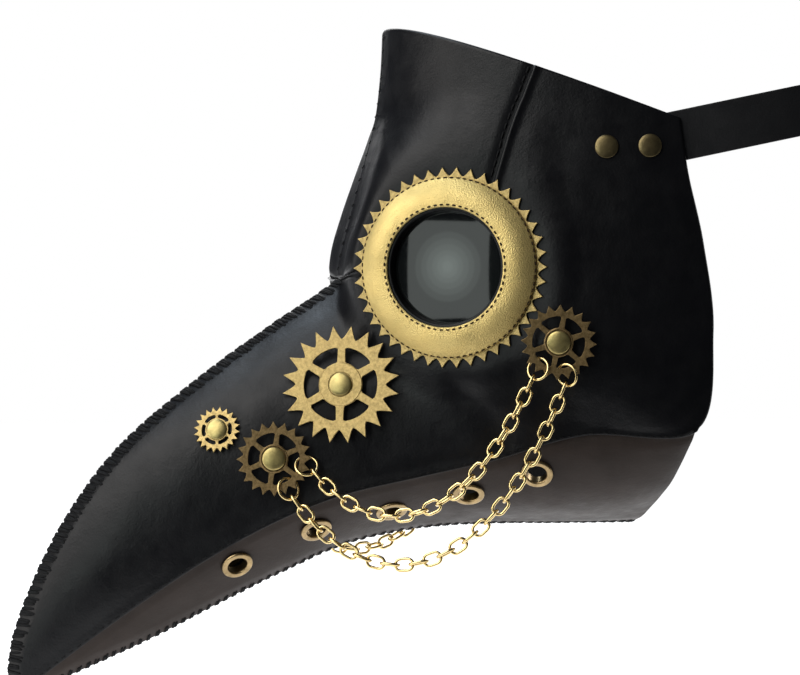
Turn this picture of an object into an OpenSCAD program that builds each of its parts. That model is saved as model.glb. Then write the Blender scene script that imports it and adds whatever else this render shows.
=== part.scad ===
// Plague doctor mask: two halves of stitched leather with a hooked beak, round lenses,
// riveted gear plates, hanging chains, lacing eyelets and a buckled head strap.
// Frame: +Z up, the beak points along -Y, +X is the wearer's left.
// Origin: middle of the head opening, level with the eyes.

/* [Leather] */
// Thickness of the leather panels
leather_t = 1.5; // [1.2:0.1:1.8]
// Half of the gap between the left and right panels, filled by the stitching
seam_half = 1.4; // [1.3:0.1:1.6]
// Gap between neighbouring panels along a side seam
seam_gap = 0.3; // [0.2:0.1:0.5]

/* [Eyes] */
// Radius of the toothed ring at the tooth tips
ring_tip_r = 40.1; // [39.5:0.1:40.5]
// Radius of the toothed ring between the teeth
ring_root_r = 36.6; // [36.2:0.1:37]
// Number of teeth on the ring
ring_teeth = 42; // [36:1:48]
// Outer radius of the domed trim
trim_r = 35.9; // [35:0.1:36]
// Radius of the opening in the trim
trim_hole_r = 23.8; // [23.4:0.1:24.2]
// Height of the trim's inner edge above the leather
trim_h = 8.4; // [8.2:0.1:9]
// Radius of the lens
lens_r = 22; // [21.5:0.1:22.1]

/* [Gears] */
// Thickness of the gear plates
gear_t = 1.1; // [0.8:0.1:1.2]
// Teeth on each gear
gear_teeth = 20; // [16:1:24]
// Radius of the rivet shank that a gear turns on
pivot_r = 2; // [1.8:0.1:2.2]
// Running clearance of a gear on its rivet
pivot_gap = 0.06; // [0.03:0.01:0.1]
// Radius of the rivet caps
cap_r = 4.65; // [4.4:0.05:4.8]

/* [Chains] */
// Wire diameter of the chain links
link_wire = 1.25; // [1.1:0.05:1.3]
// Outside length of a link
link_l = 8.5; // [8.3:0.1:8.7]
// Outside width of a link
link_w = 6; // [5.8:0.1:6.2]
// Links in the upper chain
upper_links = 21; // [21:2:25]
// Links in the lower chain
lower_links = 27; // [25:2:29]
// Wire diameter of the jump rings
jump_wire = 1.1; // [0.9:0.1:1.1]
// Diameter of the jump rings at the middle of the wire
jump_d = 8.8; // [8.6:0.1:9]

/* [Eyelets] */
// Radius of the hole through an eyelet
eyelet_hole_r = 4; // [3.8:0.1:4.2]
// Outer radius of an eyelet's flange
eyelet_r = 6.5; // [6.2:0.1:6.6]

/* [Strap] */
// Width of the head strap
strap_w = 20; // [18:1:20]
// Thickness of the head strap
strap_t = 1.8; // [1.6:0.1:1.8]
// Upward slope of the strap from the temples to the back of the head
strap_tilt = 12; // [10:1:14]
// Radius of the buckle's wire
buckle_r = 1.4; // [1.2:0.1:1.4]

/* [Hidden] */

// Rows of the outer surface, from the beak tip up to the crown:
// ridge y and z, edge x, y and z, then the angles at which the leather leaves the ridge
// and meets the edge. Rows 0 to 9 end on the lower seam, the others on the rear edge.
upper_rows = [
    [-272, -172, 1.6, -270, -176, 12, 14],
    [-268, -146, 7, -246, -157, 24, 20],
    [-252, -109, 14, -218, -136, 32, 22],
    [-228, -75, 21, -190, -117, 36, 22],
    [-197, -48, 28, -163, -102, 40, 22],
    [-167, -26, 34, -138, -92, 42, 22],
    [-143, -10, 40, -109, -85, 42, 24],
    [-137, -5, 48, -80, -78, 42, 26],
    [-136, 2, 60, -46, -68, 44, 28],
    [-133, 14, 72, -3, -66, 46, 28],
    [-128, 33, 75, 3, -27, 49, 27],
    [-121, 59, 75, -1, 8, 52, 27],
    [-118, 80, 74, -7, 36, 54, 27],
    [-117, 98, 73, -10, 58, 54, 27]];
// Rows of the under panel, level with rows 0 to 9 above: chin seam y and z, then the angles
// at which the leather leaves the side seam and meets the chin seam.
lower_rows = [
    [-271, -177, 4, 4],
    [-245, -166, 6, 6],
    [-213, -152, 8, 8],
    [-185, -138, 10, 8],
    [-158, -125, 12, 8],
    [-132, -114, 14, 8],
    [-103, -108, 16, 10],
    [-75, -106, 32, 18],
    [-46, -106, 46, 24],
    [-10, -106, 22, 12]];
tip_row = 0.25;
crown_row = 13;
jaw_row = 9;
// Share of a section's length that its end tangents reach
section_pull = 0.37;
// Seam between the forehead and side panels: row, and share of the section from the ridge
temple_seam = [[7, 0], [7.5, 0.08], [8.25, 0.17], [9.5, 0.32], [10.6, 0.46], [11.4, 0.505],
    [12.25, 0.56], [13, 0.6]];
bridge_row = 7.15;
// Steps that the side and under panels share along their seam
seam_rows = 26;

// Eye: centre on the leather, turned outward by eye_az. The leather is pressed flat out to
// flat_r and eases back to its own curve at ease_r.
eye_pos = [48.4, -98.2, -1.2];
eye_az = 27;
flat_r = 41;
ease_r = 54;
eye_cut_r = 25.4;

// Places on the leather: point, outward bearing from +X towards -Y, and elevation
large_seat = [[30.4, -138.8, -48.4], 20, 9];
front_seat = [[28.1, -166, -77.7], 12, 3];
small_seat = [[20.3, -187.8, -66.6], 20, 15];
rear_seat = [[67.9, -58.3, -30.6], 15, -6];
strap_seats = [[[69.4, -39.4, 46.4], 11, 2], [[72.1, -22.5, 46.8], 7, 2]];
eyelet_seats = [[[16.6, -179.8, -120.5], -15, -39], [[21.1, -148.2, -106.4], -17, -48],
    [[23.6, -117.7, -98.9], -9, -57], [[34.8, -88.1, -91.8], 10, -51],
    [[48.8, -63, -83.2], 15.8, -34.9]];

// Gear sizes: tip, root, window and hub radii, spoke width, height of the plate's back
// above the leather, cap radius and turn
large_gear = [23.9, 18.5, 15, 8.9, 3.1, 3.1, cap_r, 0];
front_gear = [15, 12.4, 10.4, 5.8, 1.95, 2.9, cap_r, -8];
small_gear = [9.5, 7.6, 6.2, 4.6, 1, 1.4, 4.2, 4];
rear_gear = [15, 12.4, 10.4, 5.8, 1.95, 2.5, cap_r, -12];
TIP = 0;
ROOT = 1;
WINDOW = 2;
HUB = 3;
SPOKE = 4;
LIFT = 5;
CAP = 6;
TURN = 7;
plate_gap = 0.15;
spokes = 6;
// Radius of the shoulder on a rivet, under what it holds
shoulder_r = 3.4;
// Radius and thickness of the washer on a rivet's inner end
back_r = 4.2;
back_t = 0.9;
// Eyelets: wall of the barrel, how far it reaches past the leather, room cut round it in the
// leather, and room cut behind the leather for its washer
barrel_t = 0.6;
barrel_end = 1.3;
barrel_room = 0.8;
washer_room = 4;

// Jump rings: distance from the gear's centre, then each ring's bearing around its gear from
// straight down towards the back, its tilt out of the gear's plane, and how far around the
// ring from its outermost point the chain hooks on
jump_reach = 13.3;
front_upper_ring = [78, -32, -30];
front_lower_ring = [26, -32, 4];
rear_upper_ring = [-38, 32, 10];
rear_lower_ring = [14, 32, -30];
link_gap = 0.2;
hook_gap = 0.35;
// Lean of the hanging chains away from the leather
upper_lean = 8;
lower_lean = 4;

// Strap: centre line from the back of the head to the left temple, in the strap's own plane
strap_path = [[0, 90], [12, 90], [24, 90], [36, 90], [48, 86.5], [58.5, 78.5], [67, 67],
    [73, 53], [75.6, 38], [75.4, 23], [73.8, 9], [71.2, -5], [68.6, -20], [65.4, -36], [62.6, -50]];
strap_pivot = [0, -31, 46.5];
buckle_o = 2.45;
far_bar_x = -23;
frame_half = 12.6;
fold_end = 11;
tail_o = 1.95;
over_o = 7.6;
keeper_x = 26;
tail_row = 4.3;
// Right strap: where the prong's slot starts and how long it is, and where its holes are
slot_x = -18;
slot_l = 12;
strap_holes = [-50, -38, 38.5];
// Thickness of the middle seams across and along the leather, and radius of a stitch line
seam_wide = 1.7;
seam_high = 1.2;
stitch_r = 0.45;

$fn = 48;
round_fn = 96;
eps = 0.01;

function unit(v) = v / norm(v);
function ease(a, b, x) = let (t = max(0, min(1, (x - a) / (b - a)))) t * t * (3 - 2 * t);

// Smooth curve through the rows of a table, read at a fractional row
function spline(t, s) =
    let (n = len(t), i = min(max(floor(s), 0), n - 2), u = s - i, b = t[i], c = t[i + 1],
        a = i > 0 ? t[i - 1] : 2 * b - c, d = i + 2 < n ? t[i + 2] : 2 * c - b)
    0.5 * (2 * b + (c - a) * u + (2 * a - 5 * b + 4 * c - d) * u * u
        + (3 * b - a - 3 * c + d) * u * u * u);

// Point of a curved section from a to b that bulges towards +X
function section(a, b, leave, arrive, v) =
    let (l = norm(b - a), d = unit(b - a), n = unit([1, 0, 0] - d[0] * d),
        p = a + section_pull * l * (cos(leave) * d + sin(leave) * n),
        q = b - section_pull * l * (cos(arrive) * d - sin(arrive) * n), w = 1 - v)
    w * w * w * a + 3 * w * w * v * p + 3 * w * v * v * q + v * v * v * b;

eye_axis = [cos(eye_az), -sin(eye_az), 0];
// The leather around the eye, pressed into the plane of the lens
function pressed(p) =
    let (q = p - eye_pos, h = q * eye_axis, r = norm(q - h * eye_axis))
    p - (1 - ease(flat_r - 2, ease_r, r)) * h * eye_axis;

function upper(s, v) =
    let (r = spline(upper_rows, s))
    pressed(section([seam_half, r[0], r[1]], [r[2], r[3], r[4]], r[5], r[6], v));
function lower(s, v) =
    let (r = spline(upper_rows, s), k = spline(lower_rows, s))
    section([r[2], r[3], r[4]], [seam_half, k[0], k[1]], k[2], k[3], v);
function temple_v(s) = lookup(s, temple_seam);

// Outward normal from two directions along the surface
function outward(ds, dv) = unit(cross(dv, ds));
function upper_normal(s, v) =
    outward(upper(s + eps, v) - upper(s - eps, v), upper(s, v + eps) - upper(s, v - eps));
function lower_normal(s, v) =
    outward(lower(s + eps, v) - lower(s - eps, v), lower(s, v + eps) - lower(s, v - eps));
function inset(p, n) = let (q = p - leather_t * n) [max(seam_half, q[0]), q[1], q[2]];
// Halfway between the two panels' normals at the side seam, long enough to keep the thickness
function miter(s) =
    let (a = upper_normal(s, 1), m = unit(a + lower_normal(s, 0)))
    m / (m * a);

// Closed shell between an outer and an inner grid of points
module shell(outer, inner) {
    rows = len(outer);
    cols = len(outer[0]);
    function id(i, j, side) = side * rows * cols + i * cols + j;
    skin = [for (i = [0:rows - 2]) for (j = [0:cols - 2]) each [
        [id(i, j, 0), id(i + 1, j, 0), id(i + 1, j + 1, 0)],
        [id(i, j, 0), id(i + 1, j + 1, 0), id(i, j + 1, 0)],
        [id(i, j, 1), id(i + 1, j + 1, 1), id(i + 1, j, 1)],
        [id(i, j, 1), id(i, j + 1, 1), id(i + 1, j + 1, 1)]]];
    ends = [for (j = [0:cols - 2]) each [
        [id(0, j, 0), id(0, j + 1, 0), id(0, j + 1, 1)],
        [id(0, j, 0), id(0, j + 1, 1), id(0, j, 1)],
        [id(rows - 1, j, 0), id(rows - 1, j + 1, 1), id(rows - 1, j + 1, 0)],
        [id(rows - 1, j, 0), id(rows - 1, j, 1), id(rows - 1, j + 1, 1)]]];
    sides = [for (i = [0:rows - 2]) each [
        [id(i, 0, 0), id(i + 1, 0, 1), id(i + 1, 0, 0)],
        [id(i, 0, 0), id(i, 0, 1), id(i + 1, 0, 1)],
        [id(i, cols - 1, 0), id(i + 1, cols - 1, 0), id(i + 1, cols - 1, 1)],
        [id(i, cols - 1, 0), id(i + 1, cols - 1, 1), id(i, cols - 1, 1)]]];
    polyhedron(concat([for (r = outer) each r], [for (r = inner) each r]),
        concat(skin, ends, sides), convexity = 6);
}

// Thread or bead swept along a path, wide across it and high along the given direction
module thread(path, up, wide, high) {
    n = len(path);
    sides = 6;
    rings = [for (i = [0:n - 1])
        let (t = unit(path[min(i + 1, n - 1)] - path[max(i - 1, 0)]),
            side = unit(cross(t, up)), top = cross(side, t))
        for (k = [0:sides - 1])
            path[i] + wide * cos(60 * k) * side + high * sin(60 * k) * top];
    walls = [for (i = [0:n - 2]) for (k = [0:sides - 1])
        let (a = i * sides + k, b = i * sides + (k + 1) % sides)
        each [[a, b, b + sides], [a, b + sides, a + sides]]];
    caps = [[for (k = [sides - 1:-1:0]) k], [for (k = [0:sides - 1]) (n - 1) * sides + k]];
    polyhedron(rings, concat(walls, caps), convexity = 6);
}

// Stand children on the leather: their +Z points outward, -X up and +Y to the back
module seat(place) {
    translate(place[0]) rotate([0, 0, -place[1]]) rotate([0, 90 - place[2], 0]) children();
}
function seat_point(place, p) =
    let (a = place[1], e = place[2])
    place[0] + p[2] * [cos(e) * cos(a), -cos(e) * sin(a), sin(e)]
    + p[0] * [sin(e) * cos(a), -sin(e) * sin(a), -cos(e)] + p[1] * [sin(a), cos(a), 0];
module eye_seat() {
    seat([eye_pos, eye_az, 0]) children();
}
module right_side() {
    mirror([1, 0, 0]) children();
}
module hole_at(place, r) {
    seat(place) translate([0, 0, -12]) cylinder(r = r, h = 24);
}

// ---- Leather panels ----
leather_colour = [0.10, 0.10, 0.11];
module forehead_panel() {
    rows = 16;
    cols = 9;
    function row(i) = bridge_row + (crown_row - bridge_row) * i / rows;
    function share(i, j) = (temple_v(row(i)) - 0.001) * j / cols;
    color(leather_colour) difference() {
        shell([for (i = [0:rows]) [for (j = [0:cols]) upper(row(i), share(i, j))]],
            [for (i = [0:rows]) [for (j = [0:cols])
                inset(upper(row(i), share(i, j)), upper_normal(row(i), share(i, j)))]]);
        hole_at([eye_pos, eye_az, 0], eye_cut_r);
    }
}
module side_panel() {
    rows = 40;
    cols = 13;
    function row(i) = i < seam_rows ? tip_row + (jaw_row - tip_row) * i / seam_rows
        : jaw_row + (crown_row - jaw_row) * (i - seam_rows) / (rows - seam_rows);
    function first(i) = row(i) < temple_seam[0][0] ? 0 : temple_v(row(i)) + seam_gap / 100;
    function share(i, j) = first(i) + (0.997 - first(i)) * j / cols;
    function normal(i, j) =
        j == cols && i <= seam_rows ? miter(row(i)) : upper_normal(row(i), share(i, j));
    color(leather_colour) difference() {
        shell([for (i = [0:rows]) [for (j = [0:cols]) upper(row(i), share(i, j))]],
            [for (i = [0:rows]) [for (j = [0:cols])
                inset(upper(row(i), share(i, j)), normal(i, j))]]);
        hole_at([eye_pos, eye_az, 0], eye_cut_r);
        for (place = [large_seat, front_seat, small_seat, rear_seat]) {
            hole_at(place, pivot_r + plate_gap);
            seat(place) translate([0, 0, 0.05]) cylinder(r = shoulder_r + plate_gap, h = 4);
        }
        for (place = strap_seats)
            hole_at(place, pivot_r + plate_gap);
    }
}
module under_panel() {
    cols = 8;
    function row(i) = tip_row + (jaw_row - tip_row) * i / seam_rows;
    function share(j) = 0.004 + 0.996 * j / cols;
    function normal(i, j) = j == 0 ? miter(row(i)) : lower_normal(row(i), share(j));
    color(leather_colour * 1.6) difference() {
        shell([for (i = [0:seam_rows]) [for (j = [0:cols]) lower(row(i), share(j))]],
            [for (i = [0:seam_rows]) [for (j = [0:cols])
                inset(lower(row(i), share(j)), normal(i, j))]]);
        for (place = eyelet_seats) {
            hole_at(place, eyelet_hole_r + barrel_room);
            seat(place) translate([0, 0, -leather_t - washer_room - 0.1])
                cylinder(r = eyelet_r, h = washer_room);
        }
    }
}

// ---- Stitching ----
thread_colour = [0.05, 0.05, 0.05];
// Middle seam along a table's first two columns, from one row to another
module middle_seam(table, from, to, rings) {
    color(thread_colour)
        thread([for (i = [0:rings])
            let (p = spline(table, from + (to - from) * i / rings)) [0, p[0], p[1]]],
            [1, 0, 0], seam_wide, seam_high);
}
module ridge_stitching() {
    middle_seam(upper_rows, tip_row, bridge_row - 0.2, 40);
}
module forehead_stitching() {
    middle_seam(upper_rows, bridge_row, crown_row, 24);
}
module chin_stitching() {
    middle_seam(lower_rows, tip_row, jaw_row, 36);
}
module seam_line(from, to, rings) {
    color(thread_colour)
        thread([for (i = [0:rings])
            let (s = from + (to - from) * i / rings, v = temple_v(s))
            upper(s, v) + 0.75 * upper_normal(s, v)], [0, 1, 0], stitch_r, stitch_r);
}
// The eye trim hides the seam between its two visible stretches
module temple_stitching() {
    seam_line(bridge_row + 0.25, 8.1, 10);
    seam_line(10.75, crown_row - 0.05, 22);
}
module side_stitching() {
    color(thread_colour)
        thread([for (i = [0:54])
            let (s = 0.4 + (jaw_row - 0.5) * i / 54)
            upper(s, 1) + 0.55 * unit(upper_normal(s, 1) + lower_normal(s, 0))],
            [1, 0, 0], stitch_r, stitch_r);
}

// ---- Eyes ----
gold = [0.72, 0.56, 0.25];
// Teeth with hollow flanks: the radius rises from the root to a pointed tip
function toothed(tip, root, teeth, steps) = [for (k = [0:teeth - 1]) for (j = [0:steps - 1])
    let (a = 360 * (k + j / steps) / teeth, t = abs(2 * j / steps - 1),
        r = root + (tip - root) * pow(1 - t, 1.6))
    r * [cos(a), sin(a)]];
module toothed_ring() {
    color(gold) eye_seat() translate([0, 0, 0.15]) linear_extrude(1.2) difference() {
        polygon(toothed(ring_tip_r, ring_root_r, ring_teeth, 6));
        circle(r = eye_cut_r + 0.3, $fn = round_fn);
    }
}
// Domed leather ring: a bowed strip from its foot up to the opening
module eye_trim() {
    steps = 8;
    foot_z = 1.6;
    wall = 1.2;
    function bow(i, d) =
        let (t = i / steps, drop = trim_r - trim_hole_r)
        [trim_r - drop * t, foot_z + (trim_h - foot_z - wall) * t + 1.8 * sin(180 * t) + d];
    color(gold) eye_seat() rotate_extrude($fn = round_fn)
        polygon(concat([for (i = [0:steps]) bow(i, 0)], [for (i = [steps:-1:0]) bow(i, wall)]));
}
// Black cup that holds the lens: clamped through the leather, with a seat for the lens
module lens_holder() {
    wall_r = eye_cut_r - 0.2;
    top_z = trim_h - 1.5;
    color([0.04, 0.04, 0.04]) eye_seat() rotate_extrude($fn = round_fn)
        polygon([[lens_r + 0.15, -0.2], [lens_r - 1.2, -0.2], [lens_r - 1.2, 1],
            [lens_r + 0.15, 1], [lens_r + 0.15, 3.4], [lens_r + 0.7, top_z],
            [wall_r - 0.5, top_z], [wall_r, top_z - 0.6], [wall_r, -leather_t - 0.15],
            [wall_r + 4, -leather_t - 0.15], [wall_r + 4, -leather_t - 1.4],
            [lens_r + 0.15, -leather_t - 1.4]]);
}
module lens() {
    steps = 8;
    rise = 1;
    function dome(i, z) = [lens_r * i / steps, z + rise * (1 - pow(i / steps, 2))];
    color([0.1, 0.12, 0.13, 0.8]) eye_seat() rotate_extrude($fn = round_fn)
        polygon(concat([for (i = [0:steps]) dome(i, 1.05)],
            [for (i = [steps:-1:0]) dome(i, 2.55)]));
}

// ---- Gears and rivets ----
module gear(g, place) {
    color(gold) seat(place) translate([0, 0, g[LIFT]]) rotate([0, 0, g[TURN]])
        linear_extrude(gear_t) difference() {
            polygon(toothed(g[TIP], g[ROOT], gear_teeth, 8));
            difference() {
                circle(r = g[WINDOW], $fn = round_fn);
                circle(r = g[HUB]);
                for (k = [0:spokes - 1])
                    rotate(360 * k / spokes) translate([0, -g[SPOKE] / 2])
                        square([g[WINDOW] + 1, g[SPOKE]]);
            }
            circle(r = pivot_r + pivot_gap);
        }
}
// Rivet: domed cap, shank, and a shoulder that carries what it holds
module rivet(cap_r, cap_z, shoulder_z, depth) {
    dome_h = 1.7;
    steps = 6;
    cap = [for (i = [0:steps]) [cap_r * cos(90 * i / steps), cap_z + 0.5 + dome_h
        * sin(90 * i / steps)]];
    rotate_extrude() polygon(concat([[0, -depth], [pivot_r, -depth], [pivot_r, 0.1],
        [shoulder_r, 0.1], [shoulder_r, shoulder_z], [pivot_r, shoulder_z],
        [pivot_r, cap_z], [cap_r, cap_z]], cap));
}
gear_depth = leather_t + 1.8;
strap_depth = leather_t + strap_t + 3.6;
module gear_rivet(g, place) {
    seat(place) rivet(g[CAP], g[LIFT] + gear_t + plate_gap, g[LIFT] - plate_gap, gear_depth);
}
module gear_rivets() {
    color([0.45, 0.38, 0.2]) {
        gear_rivet(large_gear, large_seat);
        gear_rivet(front_gear, front_seat);
        gear_rivet(small_gear, small_seat);
        gear_rivet(rear_gear, rear_seat);
    }
}
module strap_rivets() {
    color([0.5, 0.42, 0.22])
        for (place = strap_seats)
            seat(place) rivet(cap_r, 0.3, 0.2, strap_depth);
}
// Washer pressed on the inner end of a rivet
module rivet_back(depth) {
    translate([0, 0, -depth]) difference() {
        cylinder(r = back_r, h = back_t);
        translate([0, 0, -1]) cylinder(r = pivot_r + 0.02, h = 3);
    }
}
module rivet_backs() {
    color([0.45, 0.38, 0.2]) {
        for (place = [large_seat, front_seat, small_seat, rear_seat])
            seat(place) rivet_back(gear_depth);
        for (place = strap_seats)
            seat(place) rivet_back(strap_depth);
    }
}

// ---- Eyelets ----
// Rolled brass ring with a barrel that passes through the leather
module eyelets() {
    roll = 0.9;
    color([0.45, 0.36, 0.18])
        for (place = eyelet_seats)
            seat(place) rotate_extrude($fn = round_fn)
                polygon(concat([[eyelet_hole_r, -leather_t - barrel_end],
                    [eyelet_hole_r + barrel_t, -leather_t - barrel_end],
                    [eyelet_hole_r + barrel_t, 0.15],
                    [eyelet_r, 0.15]],
                    [for (a = [0:30:90]) [eyelet_r - roll + roll * cos(a), 0.5 + roll * sin(a)]],
                    [for (a = [90:30:180]) [eyelet_hole_r + roll + roll * cos(a),
                        0.5 + roll * sin(a)]]));
}
module eyelet_washers() {
    color([0.45, 0.36, 0.18])
        for (place = eyelet_seats)
            seat(place) translate([0, 0, -leather_t - 1]) difference() {
                cylinder(r = eyelet_r - 0.3, h = 0.7);
                translate([0, 0, -1]) cylinder(r = eyelet_hole_r + barrel_t + 0.02, h = 3);
            }
}

// ---- Chains ----
bright_gold = [0.85, 0.68, 0.3];
module jump_ring(place, g, ring) {
    seat(place) rotate([0, 0, ring[0]]) translate([jump_reach, 0, g[LIFT] + gear_t / 2])
        rotate([ring[1], 0, 0])
            rotate_extrude() translate([jump_d / 2, 0]) circle(d = jump_wire, $fn = 24);
}
// Point on a jump ring's wire where the chain hooks on
function hook_point(place, g, ring) =
    let (x = jump_reach + jump_d / 2 * cos(ring[2]), y = jump_d / 2 * sin(ring[2]),
        flat = y * cos(ring[1]))
    seat_point(place, [x * cos(ring[0]) - flat * sin(ring[0]),
        x * sin(ring[0]) + flat * cos(ring[0]), g[LIFT] + gear_t / 2 + y * sin(ring[1])]);
module jump_rings() {
    color(bright_gold) {
        jump_ring(front_seat, front_gear, front_upper_ring);
        jump_ring(front_seat, front_gear, front_lower_ring);
        jump_ring(rear_seat, rear_gear, rear_upper_ring);
        jump_ring(rear_seat, rear_gear, rear_lower_ring);
    }
}
// Cable link along X, its opening facing Z
module link() {
    bend = (link_w - link_wire) / 2;
    half = link_l / 2 - link_wire / 2 - bend;
    for (side = [-1, 1]) {
        translate([side * half, 0, 0]) rotate([0, 0, -90 * side])
            rotate_extrude(angle = 180) translate([bend, 0]) circle(d = link_wire, $fn = 24);
        translate([-half, side * bend, 0]) rotate([0, 90, 0])
            cylinder(d = link_wire, h = 2 * half, $fn = 24);
    }
}
// Hanging curve: its parameter from the level span and the slack, by halving a bracket
function sinh(x) = (exp(x) - exp(-x)) / 2;
function arsinh(x) = ln(x + sqrt(x * x + 1));
function hang(span, drape, low, high, tries) =
    let (mid = (low + high) / 2)
    tries == 0 ? mid
    : 2 * mid * sinh(span / 2 / mid) > drape ? hang(span, drape, mid, high, tries - 1)
    : hang(span, drape, low, mid, tries - 1);
// Chain of alternate links hanging between two hooks, turned outward about them by lean
module chain(from, to, links, lean) {
    pitch = link_l - 2 * link_wire - link_gap;
    hook = link_l / 2 - link_wire - jump_wire / 2 - hook_gap;
    length = 2 * hook + (links - 1) * pitch;
    rise = to[2] - from[2];
    span = norm([to[0] - from[0], to[1] - from[1]]);
    heading = atan2(to[1] - from[1], to[0] - from[0]);
    a = hang(span, sqrt(length * length - rise * rise), span / 12, span * 4, 40);
    low_u = span / 2 - a * ln((length + rise) / (length - rise)) / 2;
    first = -a * sinh(low_u / a);
    color(bright_gold) translate(from) rotate(-lean, to - from)
        for (k = [0:links - 1]) {
            s = first + hook + k * pitch;
            u = low_u + a * arsinh(s / a);
            z = sqrt(a * a + s * s) - sqrt(a * a + first * first);
            translate([u * cos(heading), u * sin(heading), z])
                rotate([0, 0, heading]) rotate([0, -atan(s / a), 0]) rotate([90 * (k % 2), 0, 0])
                    link();
        }
}
upper_from = hook_point(front_seat, front_gear, front_upper_ring);
upper_to = hook_point(rear_seat, rear_gear, rear_upper_ring);
lower_from = hook_point(front_seat, front_gear, front_lower_ring);
lower_to = hook_point(rear_seat, rear_gear, rear_lower_ring);
module upper_chain() {
    chain(upper_from, upper_to, upper_links, upper_lean);
}
module lower_chain() {
    chain(lower_from, lower_to, lower_links, lower_lean);
}

// ---- Strap and buckle ----
module strap_plane() {
    translate(strap_pivot) rotate([strap_tilt, 0, 0]) translate([0, -strap_pivot[1], 0])
        children();
}
// Centre line at a signed row (negative on the wearer's right), moved outward by o
function strap_at(t, o) =
    let (p = spline(strap_path, abs(t)), q = spline(strap_path, abs(t) + eps),
        d = unit(q - p), side = t < 0 ? -1 : 1)
    [side * (p[0] - o * d[1]), p[1] + o * d[0]];
// Band of the strap's thickness along a list of [row, outward offset]
module band(line) {
    points = [for (k = line) strap_at(k[0], k[1])];
    n = len(points);
    function across(i) =
        let (d = unit(points[min(i + 1, n - 1)] - points[max(i - 1, 0)])) [-d[1], d[0]];
    translate([0, 0, -strap_w / 2]) linear_extrude(strap_w)
        polygon(concat([for (i = [0:n - 1]) points[i] + strap_t / 2 * across(i)],
            [for (i = [n - 1:-1:0]) points[i] - strap_t / 2 * across(i)]));
}
strap_colour = [0.08, 0.08, 0.09];
rows_per_mm = 1 / 12;
strap_end = len(strap_path) - 1;
module strap_rivet_holes(side) {
    for (place = strap_seats)
        mirror([side, 0, 0]) hole_at(place, pivot_r + plate_gap);
}
// Left strap: riveted in the temple and folded back round the buckle's bar
module strap_left() {
    steps = 60;
    fold = buckle_r + 0.15 + strap_t / 2;
    color(strap_colour) difference() {
        strap_plane() difference() {
            union() {
                band([for (i = [0:steps]) [strap_end * (1 - i / steps), 0]]);
                translate([0, strap_path[0][1] + buckle_o, -strap_w / 2])
                    linear_extrude(strap_w) difference() {
                        circle(r = fold + strap_t / 2);
                        circle(r = fold - strap_t / 2);
                        translate([0, -10]) square([10, 20]);
                    }
                band([for (i = [0:12]) let (x = fold_end * i / 12)
                    [x * rows_per_mm, buckle_o + fold
                        - (buckle_o + fold - tail_o) * ease(0, 9, x)]]);
            }
            translate([-6, strap_path[0][1] - 3, -2]) cube([10.5, 12, 4]);
        }
        strap_rivet_holes(0);
    }
}
// Right strap: riveted in the temple, passed through the buckle and back over its bar
module strap_right() {
    steps = 90;
    hole_r = 1.9;
    color(strap_colour) difference() {
        strap_plane() difference() {
            band([for (i = [0:steps])
                let (t = -strap_end + (strap_end + tail_row) * i / steps)
                [t, over_o * ease(-1.8, -0.5, t) - (over_o - tail_o) * ease(0.55, 1.55, t)]]);
            translate([slot_x, strap_path[0][1] - 3, -1.4]) cube([slot_l, 14, 2.8]);
            for (x = strap_holes)
                translate([x, 110, 0]) rotate([90, 0, 0]) cylinder(r = hole_r, h = 40);
        }
        strap_rivet_holes(1);
    }
}
module bar(from, to) {
    d = to - from;
    translate(from) rotate([0, acos(d[2] / norm(d)), atan2(d[1], d[0])])
        cylinder(r = buckle_r, h = norm(d));
}
module buckle_frame() {
    y = strap_path[0][1] + buckle_o;
    corners = [[0, y, -frame_half], [0, y, frame_half], [far_bar_x, y, frame_half],
        [far_bar_x, y, -frame_half]];
    color([0.7, 0.6, 0.35]) strap_plane()
        for (i = [0:3]) {
            bar(corners[i], corners[(i + 1) % 4]);
            translate(corners[i]) sphere(r = buckle_r);
        }
}
module buckle_prong() {
    y = strap_path[0][1] + buckle_o;
    prong_r = 1;
    over_far = y + buckle_r + prong_r + 0.2;
    color([0.7, 0.6, 0.35]) strap_plane() {
        difference() {
            union() {
                translate([0, y, -1.3]) cylinder(r = buckle_r + 1.15, h = 2.6);
                translate([far_bar_x - 2.5, over_far, 0]) sphere(r = prong_r);
                translate([far_bar_x - 2.5, over_far, 0])
                    rotate([0, 90, atan2(-0.5, -far_bar_x + 1.5)])
                        cylinder(r = prong_r, h = -far_bar_x + 1.5);
            }
            translate([0, y, -2]) cylinder(r = buckle_r + pivot_gap, h = 4);
        }
    }
}
// Leather loop that holds the strap's free end down
module strap_keeper() {
    wall = 1.2;
    gap = 0.6;
    low = -strap_t / 2 - gap;
    high = tail_o + strap_t / 2 + gap;
    color(strap_colour) strap_plane()
        translate([keeper_x - 4, strap_path[0][1], 0]) difference() {
            translate([0, low - wall, -strap_w / 2 - gap - wall])
                cube([8, high - low + 2 * wall, strap_w + 2 * (gap + wall)]);
            translate([-1, low, -strap_w / 2 - gap])
                cube([10, high - low, strap_w + 2 * gap]);
        }
}

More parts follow.
